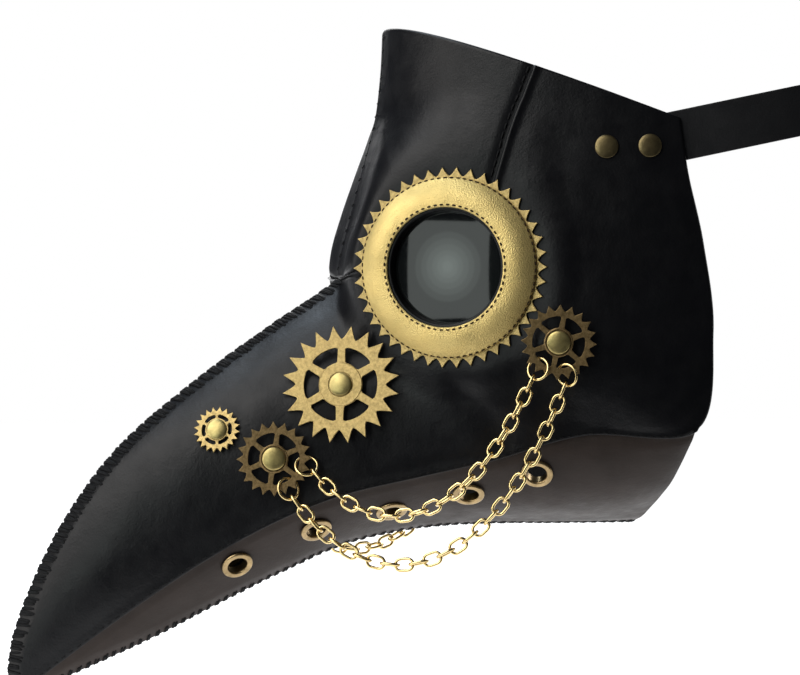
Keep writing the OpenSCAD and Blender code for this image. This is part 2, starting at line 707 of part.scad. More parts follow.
forehead_panel();  // forehead_panel_left
right_side() forehead_panel();  // forehead_panel_right
side_panel();  // side_panel_left
right_side() side_panel();  // side_panel_right
under_panel();  // under_panel_left
right_side() under_panel();  // under_panel_right
ridge_stitching();
forehead_stitching();
chin_stitching();
temple_stitching();  // temple_stitching_left
right_side() temple_stitching();  // temple_stitching_right
side_stitching();  // side_stitching_left
right_side() side_stitching();  // side_stitching_right
eye_trim();  // eye_trim_left
right_side() eye_trim();  // eye_trim_right
toothed_ring();  // toothed_ring_left
right_side() toothed_ring();  // toothed_ring_right
lens();  // lens_left
right_side() lens();  // lens_right
lens_holder();  // lens_holder_left
right_side() lens_holder();  // lens_holder_right
gear(large_gear, large_seat);  // large_gear_left
right_side() gear(large_gear, large_seat);  // large_gear_right
gear(front_gear, front_seat);  // front_gear_left
right_side() gear(front_gear, front_seat);  // front_gear_right
gear(small_gear, small_seat);  // small_gear_left
right_side() gear(small_gear, small_seat);  // small_gear_right
gear(rear_gear, rear_seat);  // rear_gear_left
right_side() gear(rear_gear, rear_seat);  // rear_gear_right
gear_rivets();  // gear_rivets_left
right_side() gear_rivets();  // gear_rivets_right
strap_rivets();  // strap_rivets_left
right_side() strap_rivets();  // strap_rivets_right
rivet_backs();  // rivet_backs_left
right_side() rivet_backs();  // rivet_backs_right
eyelets();  // eyelets_left
right_side() eyelets();  // eyelets_right
eyelet_washers();  // eyelet_washers_left
right_side() eyelet_washers();  // eyelet_washers_right
jump_rings();  // jump_rings_left
right_side() jump_rings();  // jump_rings_right
upper_chain();  // upper_chain_left
right_side() upper_chain();  // upper_chain_right
lower_chain();  // lower_chain_left
right_side() lower_chain();  // lower_chain_right
strap_left();
strap_right();
buckle_frame();
buckle_prong();
strap_keeper();
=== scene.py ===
import math
from math import cos, pi, radians, sin, sqrt
import bpy
import numpy as np
from mathutils import Matrix, Vector


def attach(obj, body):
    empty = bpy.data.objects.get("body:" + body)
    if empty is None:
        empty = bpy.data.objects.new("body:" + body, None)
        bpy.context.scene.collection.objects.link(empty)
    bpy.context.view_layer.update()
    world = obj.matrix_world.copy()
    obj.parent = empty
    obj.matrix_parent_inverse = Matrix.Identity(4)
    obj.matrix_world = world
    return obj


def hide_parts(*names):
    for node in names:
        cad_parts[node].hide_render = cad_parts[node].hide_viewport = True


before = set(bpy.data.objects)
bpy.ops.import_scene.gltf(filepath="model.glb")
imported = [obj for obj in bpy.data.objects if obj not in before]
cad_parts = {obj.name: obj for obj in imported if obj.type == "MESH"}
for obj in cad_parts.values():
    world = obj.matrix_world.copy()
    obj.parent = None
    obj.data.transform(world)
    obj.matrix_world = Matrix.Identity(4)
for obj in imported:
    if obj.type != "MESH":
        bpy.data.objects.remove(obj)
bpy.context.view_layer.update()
MM = 0.001
rng = np.random.default_rng(11)

# -------- camera
scene = bpy.context.scene
scene.view_settings.view_transform = "Standard"
scene.view_settings.look = "None"
target = Vector((0, -0.110, -0.029))
az, dist = radians(80), 1.3


def link(name, data):
    """A new object in the scene."""
    o = bpy.data.objects.new(name, data)
    scene.collection.objects.link(o)
    return o


def aim(o, at):
    """Turns a camera or a light towards a point."""
    o.rotation_euler = (at - o.location).to_track_quat("-Z", "Y").to_euler()


cam = link("camera", bpy.data.cameras.new("camera"))
cam.location = target + dist * Vector((sin(az), -cos(az), 0))
aim(cam, target)
cam.data.lens = 141.75
cam.data.sensor_width = 36
scene.camera = cam


# -------- leather surface, in millimetres
# Each row of UPPER is one section from the middle seam on top down to the jaw seam: y and z of the
# middle seam, x, y and z of the jaw seam, and the angles at which the section leaves and arrives.
UPPER = np.array([
    [-272, -172, 1.6, -270, -176, 12, 14], [-268, -146, 7, -246, -157, 24, 20],
    [-252, -109, 14, -218, -136, 32, 22], [-228, -75, 21, -190, -117, 36, 22],
    [-197, -48, 28, -163, -102, 40, 22], [-167, -26, 34, -138, -92, 42, 22],
    [-143, -10, 40, -109, -85, 42, 24], [-137, -5, 48, -80, -78, 42, 26],
    [-136, 2, 60, -46, -68, 44, 28], [-133, 14, 72, -3, -66, 46, 28],
    [-128, 33, 75, 3, -27, 49, 27], [-121, 59, 75, -1, 8, 52, 27],
    [-118, 80, 74, -7, 36, 54, 27], [-117, 98, 73, -10, 58, 54, 27]], float)
# Each row of LOWER carries on from the same row's jaw seam to the chin: y and z of the chin seam,
# and the two angles.
LOWER = np.array([
    [-271, -177, 4, 4], [-245, -166, 6, 6], [-213, -152, 8, 8], [-185, -138, 10, 8],
    [-158, -125, 12, 8], [-132, -114, 14, 8], [-103, -108, 16, 10], [-75, -106, 32, 18],
    [-46, -106, 46, 24], [-10, -106, 22, 12]], float)
# The temple seam: row, and the share of the section at which the seam crosses it.
TEMPLE = np.array([[7, 0], [7.5, .08], [8.25, .17], [9.5, .32], [10.6, .46], [11.4, .505],
                   [12.25, .56], [13, .6]])
SEAM, PULL, THICK = 1.4, 0.37, 1.5
OVERLAP = .03  # how far the two halves of the mask pass the middle plane
JAW_END = 9.0  # the row at which the jaw seam ends
# Places on the leather: position, azimuth towards the front and elevation in degrees.
EYE = ((48.4, -98.2, -1.2), 27, 0)
LARGE = ((30.4, -138.8, -48.4), 20, 9)
FRONT = ((28.1, -166, -77.7), 12, 3)
SMALL = ((20.3, -187.8, -66.6), 20, 15)
REAR = ((67.9, -58.3, -30.6), 15, -6)
STRAPS = [((69.4, -39.4, 46.4), 11, 2), ((72.1, -22.5, 46.8), 7, 2)]
EYELETS = [((16.6, -179.8, -120.5), -15, -39), ((21.1, -148.2, -106.4), -17, -48),
           ((23.6, -117.7, -98.9), -9, -57), ((34.8, -88.1, -91.8), 10, -51),
           ((48.8, -63, -83.2), 15.8, -34.9)]


def unit(v):
    return v / np.maximum(np.linalg.norm(v, axis=-1, keepdims=True), 1e-12)


def ease(a, b, x):
    """0 at a, 1 at b, and smooth in between."""
    t = np.clip((np.asarray(x, float) - a) / (b - a), 0, 1)
    return t * t * (3 - 2 * t)


def spline(table, s):
    """Smooth curve through the rows of a table."""
    s = np.atleast_1d(np.asarray(s, float))
    n = len(table)
    i = np.clip(np.floor(s).astype(int), 0, n - 2)
    u = (s - i)[..., None]
    b, c = table[i], table[i + 1]
    a = np.where((i > 0)[..., None], table[np.maximum(i - 1, 0)], 2 * b - c)
    d = np.where((i + 2 < n)[..., None], table[np.minimum(i + 2, n - 1)], 2 * c - b)
    return .5 * (2 * b + (c - a) * u + (2 * a - 5 * b + 4 * c - d) * u ** 2
                 + (3 * b - a - 3 * c + d) * u ** 3)


def section(a, b, leave, arrive, v):
    """Curve from a to b that bows outward by the angles at its ends."""
    length = np.linalg.norm(b - a, axis=-1, keepdims=True)
    d = unit(b - a)
    n = unit(np.array([1., 0, 0]) - d[..., :1] * d)
    le, ar = np.radians(leave)[..., None], np.radians(arrive)[..., None]
    p = a + PULL * length * (np.cos(le) * d + np.sin(le) * n)
    q = b - PULL * length * (np.cos(ar) * d - np.sin(ar) * n)
    v = v[..., None]
    w = 1 - v
    return w ** 3 * a + 3 * w * w * v * p + 3 * w * v * v * q + v ** 3 * b


EYE_AXIS = np.array([cos(radians(EYE[1])), -sin(radians(EYE[1])), 0])
# The leather is pressed into the plane of the lens out to FLAT_R from the eye's axis, and that
# fades out over FADE. Above the eye it fades over up to FADE_MORE further, where part.scad has
# FADE alone, so the forehead here stands up to 9.1 mm outside the CAD surface.
FLAT_R, FADE, FADE_MORE = 39, 15, 20


def upper(s, v):
    """Leather above the jaw seam, at row s and share v of its section."""
    s, v = np.broadcast_arrays(np.asarray(s, float), np.asarray(v, float))
    r = spline(UPPER, s.ravel()).reshape(s.shape + (7,))
    a = np.stack([np.full(s.shape, SEAM), r[..., 0], r[..., 1]], -1)
    p = section(a, r[..., 2:5], r[..., 5], r[..., 6], v)
    q = p - np.array(EYE[0])
    h = q @ EYE_AXIS
    flat = q - h[..., None] * EYE_AXIS
    far = np.linalg.norm(flat, axis=-1)
    more = FADE_MORE * np.clip((flat[..., 2] / far - .35) / .5, 0, 1) ** 2
    k = 1 - ease(0, 1, (far - FLAT_R) / (FADE + more))
    return p - (k * h)[..., None] * EYE_AXIS


def lower(s, v):
    """Leather below the jaw seam, at row s and share v of its section."""
    s, v = np.broadcast_arrays(np.asarray(s, float), np.asarray(v, float))
    r = spline(UPPER, s.ravel()).reshape(s.shape + (7,))
    k = spline(LOWER, s.ravel()).reshape(s.shape + (4,))
    b = np.stack([np.full(s.shape, SEAM), k[..., 0], k[..., 1]], -1)
    return section(r[..., 2:5], b, k[..., 2], k[..., 3], v)


def normal(fn, s, v):
    """Outward normal of a leather surface."""
    e = .01
    return unit(np.cross(fn(s, np.asarray(v) + e) - fn(s, np.asarray(v) - e),
                         fn(np.asarray(s) + e, v) - fn(np.asarray(s) - e, v)))


def temple_v(s):
    return np.interp(s, TEMPLE[:, 0], TEMPLE[:, 1])


def axes_of(place):
    """Rows X (down), Y (to the back) and Z (outward) of a place on the leather."""
    a, e = radians(place[1]), radians(place[2])
    return np.array([
        [sin(e) * cos(a), -sin(e) * sin(a), -cos(e)],
        [sin(a), cos(a), 0],
        [cos(e) * cos(a), -cos(e) * sin(a), sin(e)]])


def seat(place, pts):
    """Points in a place's own axes, moved to the mask."""
    return np.asarray(place[0], float) + np.asarray(pts, float) @ axes_of(place)


def run_of(p):
    """Distance along a line of points, from its first point to each of them."""
    return np.concatenate([[0], np.cumsum(np.linalg.norm(np.diff(p, axis=0), axis=1))])


# Length in millimetres and weight of each wave in the leather's unevenness.
WAVE_LENGTHS = ((70, 1), (55, .9), (44, .8), (33, .7), (27, .6), (21, .42), (17, .3), (13, .2))
WAVES = [(unit(rng.normal(size=3)) * 2 * pi / length, rng.uniform(0, 6.28), weight)
         for length, weight in WAVE_LENGTHS]


def wander(p):
    """Smooth bumps between about -1 and 1."""
    return sum(weight * np.sin(p @ k + phase) for k, phase, weight in WAVES) / 2.6


# -------- mesh building
class Build:
    """Collects the points and faces of one piece, in millimetres."""

    def __init__(self):
        self.v, self.f, self.m, self.n = [], [], [], 0

    def add(self, verts, faces, lining=0):
        """Adds a shape whose last faces, as many as lining says, have the second material."""
        verts = np.asarray(verts, float).reshape(-1, 3)
        self.v.append(verts)
        self.f += [tuple(int(i) + self.n for i in f) for f in faces]
        self.m += [0] * (len(faces) - lining) + [1] * lining
        self.n += len(verts)
        return self

    def put(self, place, shape):
        """Adds a shape, given as points and faces, at a place on the leather."""
        return self.add(seat(place, shape[0]), shape[1])

    def make(self, name, body, slot, mats, stands=(), mirror=False, sharp=40):
        v = np.concatenate(self.v) * MM
        f = self.f
        if mirror:
            v = v * np.array([-1, 1, 1])
            f = [t[::-1] for t in f]
        me = bpy.data.meshes.new(name)
        me.from_pydata(v.tolist(), [], f)
        me.update()
        for m in (mats if isinstance(mats, (list, tuple)) else [mats]):
            me.materials.append(m)
        me.polygons.foreach_set("material_index", self.m)
        me.polygons.foreach_set("use_smooth", [True] * len(f))
        me.set_sharp_from_angle(angle=radians(sharp))
        o = link(name, me)
        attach(o, body)
        if stands:
            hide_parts(*stands)
        return o

    def both(self, name, body, slot, mats, stands=(), sharp=40):
        """The piece on the wearer's left, and its mirror image on the right."""
        for side, flip in (("left", False), ("right", True)):
            self.make(f"{name}_{side}", body.format(side), slot, mats,
                      [s.format(side) for s in stands], flip, sharp)


def tube(path, radius, sides=8, closed=False, start=None):
    """Round tube along a line of points. start points to its first corner."""
    p = np.asarray(path, float)
    n = len(p)
    t = np.roll(p, -1, 0) - np.roll(p, 1, 0) if closed else np.gradient(p, axis=0)
    t = unit(t)
    if start is None:
        start = [0, 0, 1.] if abs(t[0, 2]) < .9 else [1., 0, 0]
    v = np.array(start)
    na = np.zeros_like(p)
    for i in range(n):
        v = v - t[i] * (v @ t[i])
        v = v / np.linalg.norm(v)
        na[i] = v
    bi = np.cross(t, na)
    r = np.broadcast_to(radius, (n,))
    a = np.arange(sides) * 2 * pi / sides
    ring = np.cos(a)[None, :, None] * na[:, None] + np.sin(a)[None, :, None] * bi[:, None]
    verts = (p[:, None] + r[:, None, None] * ring).reshape(-1, 3)
    faces = []
    for i in range(n if closed else n - 1):
        j = (i + 1) % n
        for k in range(sides):
            m = (k + 1) % sides
            faces.append((i * sides + k, i * sides + m, j * sides + m, j * sides + k))
    if not closed:
        faces.append(tuple(range(sides))[::-1])
        faces.append(tuple((n - 1) * sides + k for k in range(sides)))
    return verts, faces


def round_ends(n, r, tip=.35):
    """Radius along a thread that narrows at both ends."""
    t = np.linspace(0, 1, n)
    return r * (tip + (1 - tip) * np.clip(np.sin(pi * t) * 3, 0, 1) ** .5)


def lathe(profile, steps=96):
    """Closed [radius, height] outline turned about Z."""
    pr = np.asarray(profile, float)
    n = len(pr)
    a = np.arange(steps) * 2 * pi / steps
    radius = pr[:, 0][None]
    verts = np.stack([radius * np.cos(a)[:, None], radius * np.sin(a)[:, None],
                      np.broadcast_to(pr[:, 1], (steps, n))], -1).reshape(-1, 3)
    faces = []
    for i in range(steps):
        j = (i + 1) % steps
        for k in range(n):
            m = (k + 1) % n
            if pr[k, 0] < 1e-9 and pr[m, 0] < 1e-9:
                continue
            faces.append((i * n + k, j * n + k, j * n + m, i * n + m))
    nxt = np.roll(pr, -1, 0)
    area = sum(pr[k, 0] * nxt[k, 1] - nxt[k, 0] * pr[k, 1] for k in range(n))
    return verts, (faces if area > 0 else [f[::-1] for f in faces])


def arc(cx, cz, r, a0, a1, n=6):
    """Points of an arc in a profile, angles in degrees."""
    a = np.radians(np.linspace(a0, a1, n))
    return [[cx + r * cos(t), cz + r * sin(t)] for t in a]


def plate(loops, z0, thick, bevel):
    """Flat plate with bevelled edges from an outline and its holes."""
    cu = bpy.data.curves.new("tmp", "CURVE")
    cu.dimensions, cu.fill_mode = "2D", "BOTH"
    for loop in loops:
        sp = cu.splines.new("POLY")
        sp.points.add(len(loop) - 1)
        for pt, (x, y) in zip(sp.points, loop):
            pt.co = (x, y, 0, 1)
        sp.use_cyclic_u = True
    cu.extrude = thick / 2 - bevel
    cu.bevel_depth, cu.bevel_resolution, cu.offset = bevel, 1, -bevel
    ob = link("tmp", cu)
    graph = bpy.context.evaluated_depsgraph_get()
    me = bpy.data.meshes.new_from_object(ob.evaluated_get(graph))
    verts = np.array([v.co for v in me.vertices]) + [0, 0, z0 + thick / 2]
    faces = [tuple(p.vertices) for p in me.polygons]
    bpy.data.objects.remove(ob)
    bpy.data.curves.remove(cu)
    bpy.data.meshes.remove(me)
    return verts, faces


# -------- materials
def nodes_of(name):
    m = bpy.data.materials.new(name)
    m.use_nodes = True
    nt = m.node_tree
    b = nt.nodes["Principled BSDF"]
    return m, nt, b


def sock(node, name, value):
    node.inputs[name].default_value = value


def noise(nt, scale, detail=4, rough=.55):
    c = nt.nodes.new("ShaderNodeTexCoord")
    n = nt.nodes.new("ShaderNodeTexNoise")
    sock(n, "Scale", scale)
    sock(n, "Detail", detail)
    sock(n, "Roughness", rough)
    nt.links.new(c.outputs["Object"], n.inputs["Vector"])
    return n


def tint(nt, shader, socket, src, stops):
    """Drives a socket of the shader with a noise, through a ramp."""
    r = nt.nodes.new("ShaderNodeValToRGB")
    e = r.color_ramp.elements
    while len(e) < len(stops):
        e.new(.5)
    for el, (pos, col) in zip(e, stops):
        el.position = pos
        el.color = (*col, 1)
    nt.links.new(src.outputs["Fac"], r.inputs["Fac"])
    nt.links.new(r.outputs["Color"], shader.inputs[socket])


def bump(nt, src, strength, distance, after=None):
    b = nt.nodes.new("ShaderNodeBump")
    sock(b, "Strength", strength)
    sock(b, "Distance", distance)
    nt.links.new(src, b.inputs["Height"])
    if after:
        nt.links.new(after.outputs["Normal"], b.inputs["Normal"])
    return b


def grey(a, b):
    """Stops of a ramp between two grey values."""
    return [(.3, (a, a, a)), (.7, (b, b, b))]


def shade(c, k):
    """A colour made lighter or darker."""
    return tuple(min(1, x * k) for x in c)


def leather(name, colour, low=.3, high=.42, grain=.12, metal=0.0, spec=.26, cells=1100,
            lumps=.25):
    """Grained leather. low and high are the roughness where it is shiniest and dullest."""
    m, nt, b = nodes_of(name)
    big, fine = noise(nt, 60, 3), noise(nt, 1500, 3, .6)
    tint(nt, b, "Base Color", big, [(.25, shade(colour, .82)), (.8, shade(colour, 1.2))])
    tint(nt, b, "Roughness", noise(nt, 140, 5), grey(low, high))
    v = nt.nodes.new("ShaderNodeTexVoronoi")
    sock(v, "Scale", cells)
    c = nt.nodes.new("ShaderNodeTexCoord")
    nt.links.new(c.outputs["Object"], v.inputs["Vector"])
    b1 = bump(nt, v.outputs["Distance"], grain, .0003)
    b2 = bump(nt, fine.outputs["Fac"], grain, .0003, b1)
    b3 = bump(nt, noise(nt, 210, 2).outputs["Fac"], lumps, .0006, b2)
    nt.links.new(b3.outputs["Normal"], b.inputs["Normal"])
    sock(b, "Metallic", metal)
    sock(b, "Specular IOR Level", spec)
    return m


def metal(name, colour, low, high, grain=.05, scale=900, dirt=.75, spots=260):
    """Aged metal. dirt is how dark its spots are, and spots the scale of them."""
    m, nt, b = nodes_of(name)
    tint(nt, b, "Base Color", noise(nt, spots, 5, .65),
         [(.3, shade(colour, dirt)), (.62, colour)])
    tint(nt, b, "Roughness", noise(nt, 420, 4), grey(low, high))
    nt.links.new(bump(nt, noise(nt, scale, 4).outputs["Fac"], grain, .0002).outputs["Normal"],
                 b.inputs["Normal"])
    sock(b, "Metallic", 1)
    return m


def thread_mat(name, colour):
    m, nt, b = nodes_of(name)
    n = noise(nt, 2600, 4, .7)
    tint(nt, b, "Base Color", n, [(.3, shade(colour, .5)), (.75, shade(colour, 1.6))])
    nt.links.new(bump(nt, n.outputs["Fac"], .7, .0004).outputs["Normal"], b.inputs["Normal"])
    sock(b, "Roughness", .7)
    sock(b, "Specular IOR Level", .16)
    return m


def gloss(name, colour, rough, ior=1.5):
    m, nt, b = nodes_of(name)
    tint(nt, b, "Base Color", noise(nt, 30, 2),
         [(.3, shade(colour, .9)), (.7, shade(colour, 1.1))])
    tint(nt, b, "Roughness", noise(nt, 500, 3), grey(rough, rough * 1.5))
    sock(b, "IOR", ior)
    return m


M_PANEL = leather("panel_leather", (.0028, .0028, .0036), .32, .44, spec=.215)
# Lighter and warmer than the panel leather: painted light from the pale floor below.
M_UNDER_PAINTED_LIGHT = leather("under_leather", (.032, .0245, .0215), .42, .54, spec=.11)
M_LINING = leather("lining", (.032, .030, .029), .75, .9, .5, spec=.25)
M_THREAD = thread_mat("black_thread", (.0035, .0035, .004))
M_TRIM = leather("gold_trim_leather", (.7, .54, .215), .48, .62, .6, .85,
                 cells=1900, lumps=.12)
M_STITCH = thread_mat("trim_thread", (.035, .02, .008))
M_PLATE = metal("gold_plate", (.49, .36, .15), .4, .52, .3, 1700, .55, 800)
# Darker copy of the gold plate for the front and rear gears: painted shade.
M_PLATE_PAINTED_SHADE = metal("gold_plate_painted_shade", (.27, .184, .084), .42, .56, .3, 1700, .45, 800)
M_LENS = gloss("lens_glass", (.004, .005, .005), .035)
M_HOLDER = gloss("lens_holder", (.003, .003, .0035), .3, 1.3)
M_RIVET = metal("rivet_brass", (.46, .37, .15), .34, .44, dirt=.6)
# Darker copy of the rivet brass for the strap rivets: painted shadow.
M_RIVET_PAINTED_SHADOW = metal("rivet_brass_painted_shadow", (.20, .155, .075), .36, .46, dirt=.6)
M_EYELET = metal("eyelet_brass", (.40, .29, .15), .26, .4, dirt=.55)
M_CHAIN = metal("chain_gold", (.80, .61, .28), .14, .24, dirt=.8)
M_STRAP = leather("strap_leather", (.012, .012, .013), .34, .46)
M_BUCKLE = metal("buckle_brass", (.42, .33, .16), .22, .34, dirt=.7)


# -------- leather panels
NEAR = np.array([0, .12, .35, .7, 1.1, 1.7, 2.6, 4])  # rows close to an edge, by distance from it
SHORT = 14  # a section shorter than this has its edge rows drawn together
EYE_HOLE, RIVET_HOLE, EYELET_HOLE = 25.4, 2.15, 4.85
SNAP = 2.2  # points this close to a hole's radius move onto its circle
HOLE_DEPTH = 12  # a hole cuts only the leather this close to its place
CLOSE_OVER = 7.0  # leather over which an edge is drawn to the middle plane
PAST = .0015  # share of a section by which an edge runs on past its seam


def stops(total, count):
    """Distances of the points across a section, closer together at its two ends."""
    k = min(1, total / SHORT)
    mid = np.linspace(NEAR[-1] * k, total - NEAR[-1] * k, count)[1:-1]
    return np.concatenate([NEAR * k, mid, total - NEAR[::-1] * k])


def grid(fn, rows, start, end, count):
    """Points, normals and edge distances of the leather between two seams."""
    s_out, v_out, near_out, far_out = [], [], [], []
    t = np.linspace(0, 1, 121)
    for s in rows:
        v = start(s) + (end(s) - start(s)) * t
        p = fn(np.full_like(v, s), v)
        run = run_of(p)
        d = stops(run[-1], count)
        v_out.append(np.interp(d, run, v))
        s_out.append(np.full_like(d, s))
        near_out.append(d)
        far_out.append(run[-1] - d)
    s, v = np.array(s_out), np.array(v_out)
    return s, v, fn(s, v), normal(fn, s, v), np.array(near_out), np.array(far_out)


def row_stops(fn, v, a, b, count):
    """Rows from a to b and their distances from both ends, measured along the leather at v.
    They are evenly spaced, and closer together at the ends."""
    s = np.linspace(a, b, 400)
    run = run_of(fn(s, np.full_like(s, v)))
    middle = np.linspace(NEAR[-1], run[-1] - NEAR[-1], count)[1:-1]
    d = np.concatenate([NEAR, middle, run[-1] - NEAR[::-1]])
    return np.interp(d, run, s), d, run[-1] - d


def roll(d, r=1.25, deep=1.0):
    """How far a rounded edge falls away, at distance d from the edge."""
    x = np.clip(1 - d / r, 0, 1)
    return deep * (1 - np.sqrt(1 - x * x * .98))


def grid_quads(rows, cols):
    """Faces of a grid of points."""
    idx = np.arange(rows * cols).reshape(rows, cols)
    return np.stack([idx[:-1, :-1], idx[:-1, 1:], idx[1:, 1:], idx[1:, :-1]], -1).reshape(-1, 4)


def rim_of(quads):
    """Edges that belong to one face only."""
    edges = {}
    for q in quads:
        for k in range(4):
            edges[(q[k], q[(k + 1) % 4])] = 1
    return [e for e in edges if (e[1], e[0]) not in edges]


def sheet(outer, inner, quads, rim):
    """Points of a closed sheet, and the faces of its front, its back and its edges."""
    n0 = len(outer)
    used = np.unique(np.concatenate([quads.ravel(), quads.ravel() + n0]))
    remap = np.full(2 * n0, -1)
    remap[used] = np.arange(len(used))
    parts = (quads, [q[::-1] + n0 for q in quads], [(b, a, a + n0, b + n0) for a, b in rim])
    front, back, wall = ([tuple(remap[list(f)]) for f in part] for part in parts)
    return np.concatenate([outer, inner])[used], front, back, wall


def panel(p, n, lift, holes):
    """Closed leather sheet with round holes: outer skin, lining and the edges between them."""
    outer = p + lift[..., None] * n
    inner = p - THICK * n
    inner[..., 0] = np.maximum(inner[..., 0], -OVERLAP)
    outer[..., 0] = np.maximum(outer[..., 0], -OVERLAP)
    outer, inner = outer.reshape(-1, 3), inner.reshape(-1, 3)
    quads = grid_quads(*p.shape[:2])
    mid = outer[quads].mean(1)
    keep = np.ones(len(quads), bool)
    for place, r in holes:
        q = (mid - np.array(place[0])) @ axes_of(place).T
        keep &= ~((np.hypot(q[:, 0], q[:, 1]) < r) & (np.abs(q[:, 2]) < HOLE_DEPTH))
    quads = quads[keep]
    rim = rim_of(quads)
    touched = np.array(sorted({a for e in rim for a in e}))
    for place, r in holes:
        ax = axes_of(place)
        for skin in (outer, inner):
            q = (skin[touched] - np.array(place[0])) @ ax.T
            d = np.hypot(q[:, 0], q[:, 1])
            near = (d < r + SNAP) & (d > r - SNAP) & (np.abs(q[:, 2]) < HOLE_DEPTH)
            q[near, :2] *= (r / d[near])[:, None]
            skin[touched[near]] = (q[near] @ ax) + np.array(place[0])
    verts, front, back, wall = sheet(outer, inner, quads, rim)
    return Build().add(verts, front + wall + back, len(back))


def closed_x(p, d):
    """Brings an edge that meets its mirror image up to the middle plane."""
    q = p.copy()
    q[..., 0] -= (SEAM + OVERLAP) * (1 - ease(0, CLOSE_OVER, d))
    return q


def shared_normal(s, n, d):
    """Near the jaw seam, turns the normal to the one that both panels share there."""
    at = np.minimum(s, JAW_END)
    a, b = normal(upper, at, np.full_like(s, 1.0)), normal(lower, at, np.zeros_like(s))
    m = unit(a + b)
    m = m / np.sum(m * a, -1, keepdims=True)
    w = ((1 - ease(.4, 5, d)) * (1 - ease(8.98, 9.1, s)))[..., None]
    return n * (1 - w) + m * w


RIVET_HOLES = [(place, RIVET_HOLE) for place in (LARGE, FRONT, SMALL, REAR, *STRAPS)]


def folds(p):
    """The soft crease low on the cheek, with a low swell on either side."""
    line = np.array([[0, -88, -57], [0, -74, -72]], float)
    d = unit(line[1:] - line[:1])[0]
    q = p - line[0]
    q[..., 0] = 0
    along = q @ d
    off = np.linalg.norm(q - along[..., None] * d, axis=-1)
    k = ease(-26, -4, along) * (1 - ease(14, 26, along))
    return -.9 * np.exp(-(off / 4.5) ** 2) * k + .35 * np.exp(-((off - 10) / 6) ** 2) * k


def side_panel():
    rows, from_tip, from_top = row_stops(upper, .55, .25, 13, 300)
    s, _, p, n, near, far = grid(upper, rows, lambda x: float(temple_v(x)),
                                 lambda x: 1.0 + PAST * (x < JAW_END), 110)
    n = shared_normal(s, n, far)
    # leather between the panel's upper edge and the middle seam: none along the ridge
    share = np.linspace(0, 1, 30)
    steps = [np.diff(upper(x, temple_v(x) * share), axis=0) for x in rows]
    above = np.array([np.linalg.norm(x, axis=1).sum() for x in steps])[:, None]
    p = closed_x(p, near + above)
    ridge = 1 - ease(0, 4, above)
    tip, top = from_tip[:, None], from_top[:, None]
    # the edge stands up over the forehead panel, and only rolls off along the ridge
    lap = .9 * np.exp(-((near - 1.1) / 1.3) ** 2) - .6 * roll(near, .8)
    lap = lap * (1 - ridge) - roll(near) * ridge
    jaw = .4 * np.exp(-((far - .9) / 2.2) ** 2) - .5 * roll(far, .6)
    jaw = np.where(s < JAW_END, jaw, -roll(far))
    soft = wander(p) * ease(2, 14, near) * ease(2, 10, far)
    lift = lap + jaw - roll(top) - roll(tip) - .2 + .36 * soft + folds(p)
    b = panel(p, n, lift, [(EYE, EYE_HOLE)] + RIVET_HOLES)
    b.both("side_panel", "mask", "panel_leather", [M_PANEL, M_LINING], ["side_panel_{}"], 60)


def forehead_panel():
    rows, _, top = row_stops(upper, .1, 7.02, 13, 150)
    _, _, p, n, near, far = grid(upper, rows, lambda x: 0.0,
                                 lambda x: float(temple_v(x)) + PAST, 60)
    p = closed_x(p, near)
    soft = wander(p + 40) * ease(2, 14, near) * ease(2, 10, far)
    lift = -roll(near) - .95 * ease(5, .6, far) - roll(top[:, None]) - .2 + .34 * soft
    b = panel(p, n, lift, [(EYE, EYE_HOLE)])
    b.both("forehead_panel", "mask", "panel_leather", [M_PANEL, M_LINING],
           ["forehead_panel_{}"], 60)


def under_panel():
    rows, tip, end = row_stops(lower, .4, .25, 9, 240)
    s, _, p, n, near, far = grid(lower, rows, lambda x: 0.0, lambda x: 1.0, 60)
    n = shared_normal(s, n, near)
    p = closed_x(p, far)
    soft = wander(p - 30) * ease(2, 14, near) * ease(2, 10, far)
    lift = (-.6 * ease(5, .8, near) - roll(far) - roll(end[:, None]) - roll(tip[:, None]) - .15
            + .36 * soft)
    b = panel(p, n, lift, [(e, EYELET_HOLE) for e in EYELETS])
    b.both("under_panel", "mask", "under_leather", [M_UNDER_PAINTED_LIGHT, M_LINING], ["under_panel_{}"], 60)


side_panel()
forehead_panel()
under_panel()


# -------- stitching
def line_at(fn, v_of, a, b, step):
    """Rows of stitches evenly spaced along a seam, with the seam's rows and distances."""
    s = np.linspace(a, b, 600)
    run = run_of(fn(s, v_of(s)))
    n = max(2, int(round(run[-1] / step)))
    return np.interp((np.arange(n) + .5) * run[-1] / n, run, s), s, run


